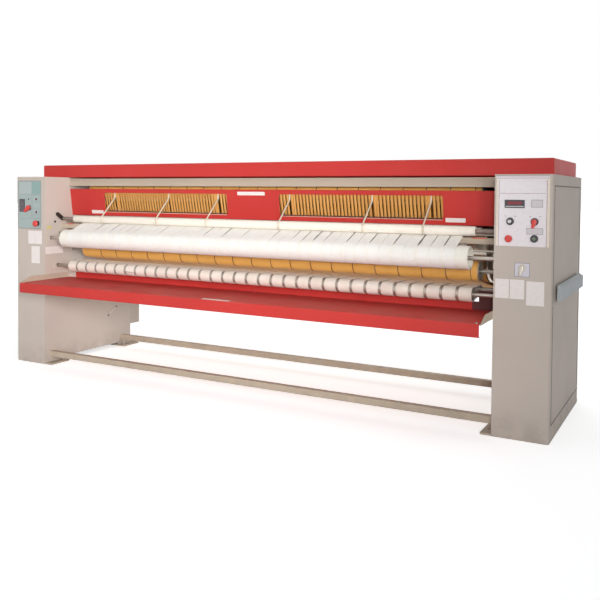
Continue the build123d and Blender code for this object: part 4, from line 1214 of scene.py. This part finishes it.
def make_controls():
    """Every knob, lever and button; a lever's size is its hub, reach, tip and thickness."""
    make_bezels()
    make_selector()
    make_lever("mode_lever_arm", "mode_lever", MODE, (0.013, 0.031, 0.005, 0.012),
               "red_plastic", -radians(13))
    make_lever("main_switch_arm", "main_switch_lever", MAIN_SWITCH,
               (0.017, 0.038, 0.009, 0.016), "red_plastic", -radians(50))
    make_lever("speed_lever_arm", "speed_lever", SPEED, (0.011, 0.034, 0.009, 0.010),
               "zinc_steel", -radians(16))
    make_button("stop_button_cap", "stop_button", STOP, radius=0.019, tall=0.010, neck=0.0)
    make_start_button()
    make_button("emergency_cap", "emergency_stop", EMERGENCY, radius=0.0235, tall=0.014,
                neck=0.009)


# ------------------------------------------------------------------ prints and displays
def make_right_panel_print():
    """Printed lines, legend fields and position marks of the right panel, all without text."""
    rose, grey, legend, black = range(4)
    low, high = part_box("right_control_panel")
    stock = Stock()
    for x in (low.x + 0.0030, high.x - 0.0022):
        stock.field(x, x + 0.0022, low.z, high.z, PANEL_FACE, finish=rose)
    stock.field(1.6815, 1.9145, 1.2896, 1.2916, SEAT, finish=rose)
    rim = 0.0020
    for x0, x1, z0, z1 in ((1.843, 1.901, 1.219, 1.258), (1.821, 1.904, 1.080, 1.112)):
        stock.frame_line(x0, x1, z0, z1, SEAT, rim, 0.0003, finish=grey)
        stock.field(x0 + rim, x1 - rim, z0 + rim, z1 - rim, SEAT, 0.0002, 0.001, legend)
    for x in (1.713, 1.763, 1.839, 1.888):
        stock.field(x - 0.004, x + 0.004, 1.171, 1.173, SEAT, corner=0.0008, finish=black)
    stock.make("right_panel_print", "base", "white_panel",
               [PRINT_ROSE, PRINT_GREY, LEGEND_FIELD, BLACK_PLASTIC])


def make_panel_mouldings():
    """Cream mouldings beside the right panel, a header strip above it, a line round the left."""
    cream, header, white, grey = range(4)
    low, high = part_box("right_control_panel")
    stock = Stock()
    for x0, x1 in ((low.x - 0.0112, low.x - 0.0002), (high.x + 0.0002, high.x + 0.0130)):
        stock.slab((x0, FRONT - 0.0028, low.z), (x1, FRONT + 0.0002, high.z + 0.0095),
                   corner=0.0012, edge=0.0012, finish=cream)
    for x0, x1, proud, z0, z1, corner, edge, finish in (
            (low.x, high.x, 0.0030, 0.0001, 0.0095, 0.0010, 0.0006, white),
            (INNER_X + 0.006, OUTER_X - 0.016, 0.0020, 0.0112, 0.0250, 0.0015, 0.0008, header),
            (INNER_X + 0.004, OUTER_X - 0.014, 0.0008, 0.0262, 0.0284, 0.0005, 0.0003, grey)):
        stock.slab((x0, FRONT - proud, high.z + z0), (x1, FRONT + 0.0002, high.z + z1),
                   corner=corner, edge=edge, finish=finish)
    low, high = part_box("left_control_panel")
    stock.frame_line(low.x, high.x, low.z, high.z, PANEL_FACE, 0.0042, 0.0004, finish=grey)
    stock.make("panel_mouldings", "base", "white_panel",
               [MOULDING, HEADER_STRIP, WHITE_PANEL, PRINT_GREY])


def make_left_panel_print():
    """Printed fields, lines and a small round mark of the left panel, all without text."""
    pale, teal, grey, black = range(4)
    left, middle, right = -1.9215, -1.7890, -1.6965
    stock = Stock()
    stock.field(left, -1.7910, 1.2625, 1.3538, SEAT, corner=0.001, finish=pale)
    stock.field(middle, right, 1.2625, 1.3538, SEAT, corner=0.001, finish=teal)
    for x0, x1, z0, z1 in ((left, right, 1.2585, 1.2605), (left, right, 1.0765, 1.0785),
                           (middle, -1.7870, 1.0785, 1.2585)):
        stock.field(x0, x1, z0, z1, SEAT, finish=grey)
    for z0, z1 in ((1.207, 1.252), (1.158, 1.200), (1.112, 1.152), (1.084, 1.106)):
        stock.frame_line(-1.782, -1.702, z0, z1, SEAT, 0.0012, 0.0003, finish=grey)
    stock.turned(outward_from(SEAT, ((0.0, 0.0062), (0.0022, 0.0060), (0.0030, 0.0046))),
                 (-1.819, 1.224), "y", 24, finish=black)
    stock.make("left_panel_print", "base", "blue_grey_panel",
               [PRINT_PALE, PRINT_TEAL, PRINT_GREY, BLACK_PLASTIC])


def make_displays():
    """Display windows with a frame and a dark glass: one with dim segments, one nearly blank."""
    frame_black, glass, glowing, legend, dim = range(5)
    rim, thin, round_corner = 0.006, 0.0002, 0.001
    face = SEAT - 0.005
    over = face - thin                     # the glass's own face
    stock = Stock()
    for x0, x1, z0, z1 in ((1.708, 1.810, 1.215, 1.257), (-1.914, -1.860, 1.128, 1.224)):
        stock.slab((x0, face, z0), (x1, SEAT, z1), corner=0.002, edge=0.0008,
                   finish=frame_black)
        stock.field(x0 + rim, x1 - rim, z0 + rim, z1 - rim, face, thin, round_corner, glass)
        if x0 < 0:
            middle = (z0 + z1) / 2
            stock.field(x0 + 0.019, x1 - 0.019, middle + 0.004, middle + 0.022, over, thin,
                        round_corner, dim)
        else:
            stock.field(x0 + 0.016, x1 - 0.014, z0 + 0.018, z1 - 0.008, over, thin,
                        round_corner, glowing)
            stock.field(x0 + rim, x1 - rim, z0 + rim, z0 + rim + 0.004, over, 0.0004,
                        round_corner, legend)
    stock.make("display_windows", "base", "display_dark",
               [BLACK_PLASTIC, DISPLAY_DARK, DISPLAY_GLOW, LEGEND_FIELD, DISPLAY_DIM],
               stands_for=["panel_displays"])


def make_lamps():
    """Two small red lamps, each with a dark collar and a domed lens."""
    stock = Stock()
    for place in LAMPS:
        stock.turned(outward_from(SEAT, ((0.0, 0.0090), (0.0020, 0.0088), (0.0026, 0.0078))),
                     place, "y", 32, finish=1)
        stock.turned(outward_from(SEAT, ((0.0024, 0.0070), (0.0036, 0.0062), (0.0045, 0.0044),
                                         (0.0050, 0.0016))), place, "y", 32)
    stock.make("lamp_lenses", "base", "red_plastic", [LAMP_RED, BLACK_PLASTIC],
               stands_for=["indicator_lamps"])


# ------------------------------------------------------------------ plates and small trim
PANEL_TOP = 1.303
PANEL_LEAN = 0.026 / 0.198                 # how much further back per metre down
PANEL_SETBACK = 0.250
PLATE = 0.0006                             # thickness of a blank plate
SUNK = 0.0002                              # how deep trim sits in the face that it lies on

# x and z of the blank plates, from low to high, on the window panel and on the cabinets
PANEL_PLATES = ((1.303, 1.422, 1.121, 1.146), (-1.450, -1.334, 1.120, 1.144),
                (-0.128, 0.087, 1.266, 1.290))
CABINET_PLATES = ((1.664, 1.736, 0.741, 0.842), (1.741, 1.814, 0.741, 0.842),
                  (1.825, 1.915, 0.712, 0.837), (-1.827, -1.758, 0.891, 0.989),
                  (-1.756, -1.684, 0.891, 0.989), (-1.794, -1.707, 0.747, 0.874))

tray_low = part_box("receiving_tray")[0]
TRAY_TOP = tray_low.z + 0.070


def panel_face_y(z):
    """The Y of the window panel's leaning front face at a height."""
    return behind(PANEL_SETBACK) + (PANEL_TOP - z) * PANEL_LEAN


def make_plates():
    """Blank plates on the window panel, the cabinets, the left side frame and the tray."""
    stock = Stock()
    for x0, x1, z0, z1 in PANEL_PLATES:
        y = panel_face_y(z1)
        stock.slab((x0, y - PLATE, z0), (x1, y + SUNK, z1), corner=0.002, edge=0.0002,
                   lean=PANEL_LEAN)
    for x0, x1, z0, z1 in CABINET_PLATES:
        stock.slab((x0, FRONT - PLATE, z0), (x1, FRONT + SUNK, z1), corner=0.002, edge=0.0002)
    stock.slab((-INNER_X - SUNK, behind(0.005), 0.818), (-INNER_X + PLATE, behind(0.177), 0.872),
               corner=0.003, edge=0.0002, axis="x")
    stock.slab((-0.072, tray_low.y + 0.010, TRAY_TOP - SUNK),
               (0.127, tray_low.y + 0.040, TRAY_TOP + PLATE), corner=0.002, edge=0.0002,
               axis="z")
    stock.make("blank_plates", "base", "white_panel", [BARE_PLATE])


def make_speed_plate_border():
    """A grey line round the speed plate."""
    low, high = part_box("speed_plate")
    stock = Stock()
    stock.frame_line(low.x, high.x, low.z, high.z, low.y, 0.0026, 0.0005)
    stock.make("speed_plate_border", "base", "black_plastic", [PRINT_GREY])


def make_marks():
    """A yellow mark on the left frame and small orange marks on the ends of the feed bed."""
    stock = Stock()
    stock.slab((-INNER_X - SUNK, behind(0.018), 1.005), (-INNER_X + 0.0005, behind(0.067), 1.026),
               corner=0.0100, edge=0.0002, axis="x")
    bed_low, bed_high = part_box("feed_bed")
    for x0, x1 in ((1.491, 1.570), (-1.598, -1.536)):
        stock.slab((x0, bed_low.y - 0.0010, bed_high.z - 0.0045),
                   (x1, bed_low.y + 0.0100, bed_high.z + 0.0022), corner=0.002, finish=1)
    stock.make("small_marks", "base", "white_panel", [YELLOW_MARK, ORANGE_MARK])


def make_window_lip_shadows():
    """A dark strip along the lower edge of each window that paints the shadow under the tapes,
    and a pale strip under it.
    """
    stock = Stock()
    for x0, x1 in WINDOWS:
        # the first strip is painted shadow under the tapes
        y = panel_face_y(1.1420)
        stock.slab((x0 + 0.004, y - 0.0008, 1.1372), (x1 - 0.004, y + 0.0050, 1.1440),
                   corner=0.0008, edge=0.0005)
        y = panel_face_y(1.1335)
        stock.slab((x0 + 0.006, y - 0.0014, 1.1318), (x1 - 0.006, y + 0.0010, 1.1352),
                   corner=0.0008, edge=0.0005, finish=1)
    stock.make("window_lip_shadows", "base", "pale_paint", [TAPE_SHADOW_STRIP, RUBBER_LIP])


GUARD_SETBACKS = (0.2300, 0.2325)          # its front and back faces
GUARD_FOOT = TRAY_TOP + 0.0008
GUARD_STEP = 0.680                         # above this height the right guard is narrower
GUARD_TOP = 0.742
BRACE_FOOT = (0.651, 0.269)                # setback and height of the brace's ends
BRACE_HEAD = (0.764, 0.341)
BRACE_HALF_WIDTH = 0.009
BRACE_THICKNESS = 0.006
BRACE_BOLT_INSETS = (0.010, 0.006)         # along Y and Z from the brace's ends
FRAME_BOLT = (0.098, 1.057)                # setback and height of the bolt on each side frame


def make_frame_trim():
    """A guard beside the tray on each frame, and each frame's brace; the right guard is a dark
    maroon plate that paints the shade beside the tray's right end.
    """
    dark, pale, steel, paint = range(4)
    front, back = (behind(setback) for setback in GUARD_SETBACKS)
    stock = Stock()
    # the right guard's dark finish is painted shade, the left guard is frame paint
    for sign, reach, z0, z1, finish in ((-1, 0.078, GUARD_FOOT, GUARD_TOP, paint),
                                        (1, 0.138, GUARD_STEP, GUARD_TOP, dark),
                                        (1, 0.175, GUARD_FOOT, GUARD_STEP, dark)):
        low, high = sorted((sign * (INNER_X - 0.0005), sign * (INNER_X - reach)))
        stock.slab((low, front, z0), (high, back, z1), edge=0.0008, finish=finish)
    foot, head = BRACE_FOOT, BRACE_HEAD
    run = Vector((head[0] - foot[0], head[1] - foot[1])).normalized() * BRACE_HALF_WIDTH
    ring = [(behind(setback) - side * run.y, z + side * run.x)
            for (setback, z), side in ((foot, -1), (head, -1), (head, 1), (foot, 1))]
    dy, dz = BRACE_BOLT_INSETS
    for sign in SIDES:
        inner, outer = sign * (INNER_X - BRACE_THICKNESS), sign * (INNER_X - 0.0003)
        stock.skin([[(x, y, z) for y, z in ring] for x in (outer, inner)], finish=pale)
        for x, y, z, radius in ((inner, behind(foot[0]) + dy, foot[1] + dz, 0.0050),
                                (inner, behind(head[0]) - dy, head[1] - dz, 0.0050),
                                (sign * INNER_X, behind(FRAME_BOLT[0]), FRAME_BOLT[1], 0.0065)):
            stock.hex_bolt(x, y, z, radius, "x", -sign, steel)
    stock.make("frame_trim", "base", "frame_paint",
               [SHADE_GUARD_PAINT, PALE_PAINT, DARK_STEEL, FRAME_PAINT])


def make_access_shade_seals():
    """A dark seal round each access opening, a little proud of the sheet; its dark colour paints
    the shade line along the opening's edges.
    """
    lap, half = 0.012, 0.003
    stock = Stock()
    for sign, node in ((-1, "left_access_panel"), (1, "right_access_panel")):
        low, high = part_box(node)
        y0, y1, z0, z1 = low.y + lap, high.y - lap, low.z + lap, high.z - lap
        side = sorted((sign * (OUTER_X - 0.0004), sign * (OUTER_X + 0.0018)))
        for a, b, c, d in ((y0 - half, y0 + half, z0, z1), (y1 - half, y1 + half, z0, z1),
                           (y0 - half, y1 + half, z1 - half, z1 + half),
                           (y0 - half, y1 + half, z0 - half, z0 + half)):
            stock.slab((side[0], a, c), (side[1], b, d), corner=0.001, axis="x")
    stock.make("access_shade_seals", "base", "cabinet_paint", [SEAL_SHADE_LINE])


SIDE_SCREW_HEIGHTS = (0.110, 0.700, 1.309)
COVER_SCREW_STATIONS = (-1.6, -0.8, 0.0, 0.8, 1.6)
BACK_SCREW_STATIONS = (-1.5, -0.9, -0.3, 0.3, 0.9, 1.5)
BACK_SCREW_HEIGHTS = (0.655, 1.372)
CONTROL_PANELS = ((1.674, 1.922, 1.016, 1.357), (-1.929, -1.689, 1.003, 1.361))  # x and z


def make_fasteners():
    """Screws of the covers, the access panels, the control panels and the tray."""
    stock = Stock()
    for sign in SIDES:
        for y in (FRONT + 0.060, REAR - 0.045):
            for z in SIDE_SCREW_HEIGHTS:
                stock.screw(sign * OUTER_X, y, z, 0.0055, "x", sign)
    inset = 0.0035
    for x0, x1, z0, z1 in CONTROL_PANELS:
        for x in (x0 + inset, x1 - inset):
            for z in (z0 + inset, z1 - inset):
                stock.screw(x, PANEL_FACE, z, 0.0022)
    cover_low, cover_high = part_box("top_cover")
    for x in COVER_SCREW_STATIONS:
        stock.screw(x, cover_high.y, cover_low.z + 0.020, 0.0050, "y", 1)
    for x in BACK_SCREW_STATIONS:
        for z in BACK_SCREW_HEIGHTS:
            stock.screw(x, REAR, z, 0.0050, "y", 1)
    bracket_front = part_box("tray_brackets")[0].y
    for sign in SIDES:
        stock.hex_bolt(sign * (INNER_X - 0.026), bracket_front + 0.020, 0.632, 0.0055, "z")
    stock.make("cover_screws", "base", "zinc_steel")


FRAME_SHEET = 0.008                        # thickness of the inner side frames
ROLL_FLANGE = (0.022, 0.021, 0.0042)       # a bearing's depth, half bolt spacing, bolt radius
CYLINDER_FLANGE = (0.045, 0.075, 0.009)


def make_bearing_bolts():
    """Flange bolts of the bearing blocks, inside the cabinets."""
    bearings = [(place, ROLL_FLANGE) for place in ROLLS.values()]
    bearings.append((CYLINDER, CYLINDER_FLANGE))
    stock = Stock()
    for (setback, height, radius), (deep, half, bolt) in bearings:
        for sign in SIDES:
            x = sign * (INNER_X + FRAME_SHEET + deep)
            for dy in (-half, half):
                for dz in (-half, half):
                    stock.hex_bolt(x, behind(setback) + dy, height + dz, bolt, "x", sign)
    stock.make("bearing_bolts", "base", "zinc_steel")


# ------------------------------------------------------------------ room, light and camera
WHITE = (1.0, 1.0, 1.0, 1.0)
AMBIENT = (0.94, 0.97, 1.0, 1.0)
FLOOR_GREY = (0.80, 0.80, 0.80, 1.0)
FLOOR_REACH = 60.0


def start_tree(owner):
    """An empty node tree of a material or a world, as a bench."""
    owner.use_nodes = True
    owner.node_tree.nodes.clear()
    return Bench(owner.node_tree)


def seen_directly(bench):
    """A mask of what the camera sees, also in mirrors and through glass."""
    seen = bench.put("ShaderNodeLightPath").outputs
    mirrored_too = bench.maths("MAXIMUM", seen["Is Glossy Ray"], seen["Is Transmission Ray"])
    return bench.maths("MAXIMUM", seen["Is Camera Ray"], mirrored_too)


def make_floor():
    """A plain pale floor that shows white; its own glow is weaker near the machine."""
    mesh = bpy.data.meshes.new("studio_floor")
    mesh.from_pydata([(FLOOR_REACH * x, FLOOR_REACH * y, 0)
                      for x, y in ((-1, -1), (1, -1), (1, 1), (-1, 1))], [], [(0, 1, 2, 3)])
    floor = bpy.data.objects.new("studio_floor", mesh)
    bpy.context.scene.collection.objects.link(floor)
    material = bpy.data.materials.new("Studio floor")
    bench = start_tree(material)
    matt = bench.put("ShaderNodeBsdfDiffuse")
    matt.inputs["Color"].default_value = FLOOR_GREY
    glow = bench.put("ShaderNodeEmission")
    glow.inputs["Color"].default_value = WHITE
    place = bench.put("ShaderNodeTexCoord").outputs["Object"]
    away = bench.vector("LENGTH", place, (0.0, 0.0, 0.0))
    level = bench.spread(bench.spread(away, 3.2, 7.0), 0.0, 1.0, 0.62, 1.0)
    bench.join(bench.times(seen_directly(bench), level), glow.inputs["Strength"])
    both = bench.put("ShaderNodeAddShader")
    bench.join(matt.outputs[0], both.inputs[0])
    bench.join(glow.outputs[0], both.inputs[1])
    bench.join(both.outputs[0], bench.put("ShaderNodeOutputMaterial").inputs["Surface"])
    mesh.materials.append(material)


def make_world():
    """A white backdrop for the camera, and dim cool light from all round for the machine."""
    world = bpy.data.worlds.new("Studio")
    bpy.context.scene.world = world
    bench = start_tree(world)
    either = bench.put("ShaderNodeMixShader")
    bench.join(seen_directly(bench), either.inputs[0])
    for socket, colour, strength in ((1, AMBIENT, 0.32), (2, WHITE, 1.0)):
        light = bench.put("ShaderNodeBackground")
        light.inputs["Color"].default_value = colour
        light.inputs["Strength"].default_value = strength
        bench.join(light.outputs[0], either.inputs[socket])
    bench.join(either.outputs[0], bench.put("ShaderNodeOutputWorld").inputs["Surface"])


def softbox(name, place, aim, size, power, grid=180.0):
    """One large soft lamp that looks at a point; a grid narrows its beam, in degrees."""
    lamp = bpy.data.lights.new(name, "AREA")
    lamp.shape = "RECTANGLE"
    lamp.size, lamp.size_y = size
    lamp.energy = power
    lamp.spread = radians(grid)
    holder = bpy.data.objects.new(name, lamp)
    bpy.context.scene.collection.objects.link(holder)
    holder.location = place
    holder.rotation_euler = (Vector(aim) - Vector(place)).to_track_quat("-Z", "Y").to_euler()


def make_lights():
    """A far key lamp, fills from the left and behind, one for the left frame, and top light."""
    softbox("key_softbox", (7.6, -20.0, 3.7), (0.0, -0.2, 0.9), (2.0, 2.0), 1080.0)
    softbox("left_fill_softbox", (-4.6, -4.6, 2.6), (-1.2, 0.0, 0.9), (3.0, 2.4), 6.0)
    softbox("left_frame_softbox", (3.5, -4.6, 1.8), (-1.65, 0.1, 0.95), (1.4, 1.4), 26.0, 54.0)
    softbox("overhead_softbox", (0.4, -0.6, 4.6), (0.2, 0.0, 0.8), (5.0, 2.0), 24.0)
    softbox("rear_fill_softbox", (0.0, 5.0, 3.4), (0.0, 0.0, 0.8), (4.0, 2.4), 90.0)


CAMERA_PLACE = (2.6489, -4.4240, 1.2815)
CAMERA_YAW = 0.49939                       # the angles in radians
CAMERA_PITCH = -0.033545
CAMERA_ROLL = 0.007708
CAMERA_LENS = 45.08                        # in millimetres, for a sensor 36 wide
CAMERA_SHIFT = -0.13558


def make_camera():
    """The camera at the photograph's place, with the cabinets' edges upright as there."""
    data = bpy.data.cameras.new("front_right_camera")
    data.sensor_width = 36.0
    data.lens = CAMERA_LENS
    data.shift_y = CAMERA_SHIFT
    data.clip_end = 200.0
    camera = bpy.data.objects.new("front_right_camera", data)
    bpy.context.scene.collection.objects.link(camera)
    turn = (Matrix.Rotation(CAMERA_YAW, 4, "Z") @ Matrix.Rotation(pi / 2 + CAMERA_PITCH, 4, "X")
            @ Matrix.Rotation(CAMERA_ROLL, 4, "Z"))
    camera.matrix_world = Matrix.Translation(CAMERA_PLACE) @ turn
    bpy.context.scene.camera = camera


# ------------------------------------------------------------------ make everything
bpy.context.scene.view_settings.view_transform = "Standard"
make_camera()
make_floor()
make_world()
make_lights()
finish_nodes()
make_feed_belts()
make_ironing_belts()
make_return_belts()
make_feed_roll()
make_rolls()
make_press_roll()
make_cylinder()
make_fingers()
make_tapes()
make_tape_bars()
make_tie_rods()
make_feet_screws()
make_controls()
make_right_panel_print()
make_panel_mouldings()
make_left_panel_print()
make_displays()
make_lamps()
make_plates()
make_speed_plate_border()
make_marks()
make_window_lip_shadows()
make_frame_trim()
make_access_shade_seals()
make_fasteners()
make_bearing_bolts()
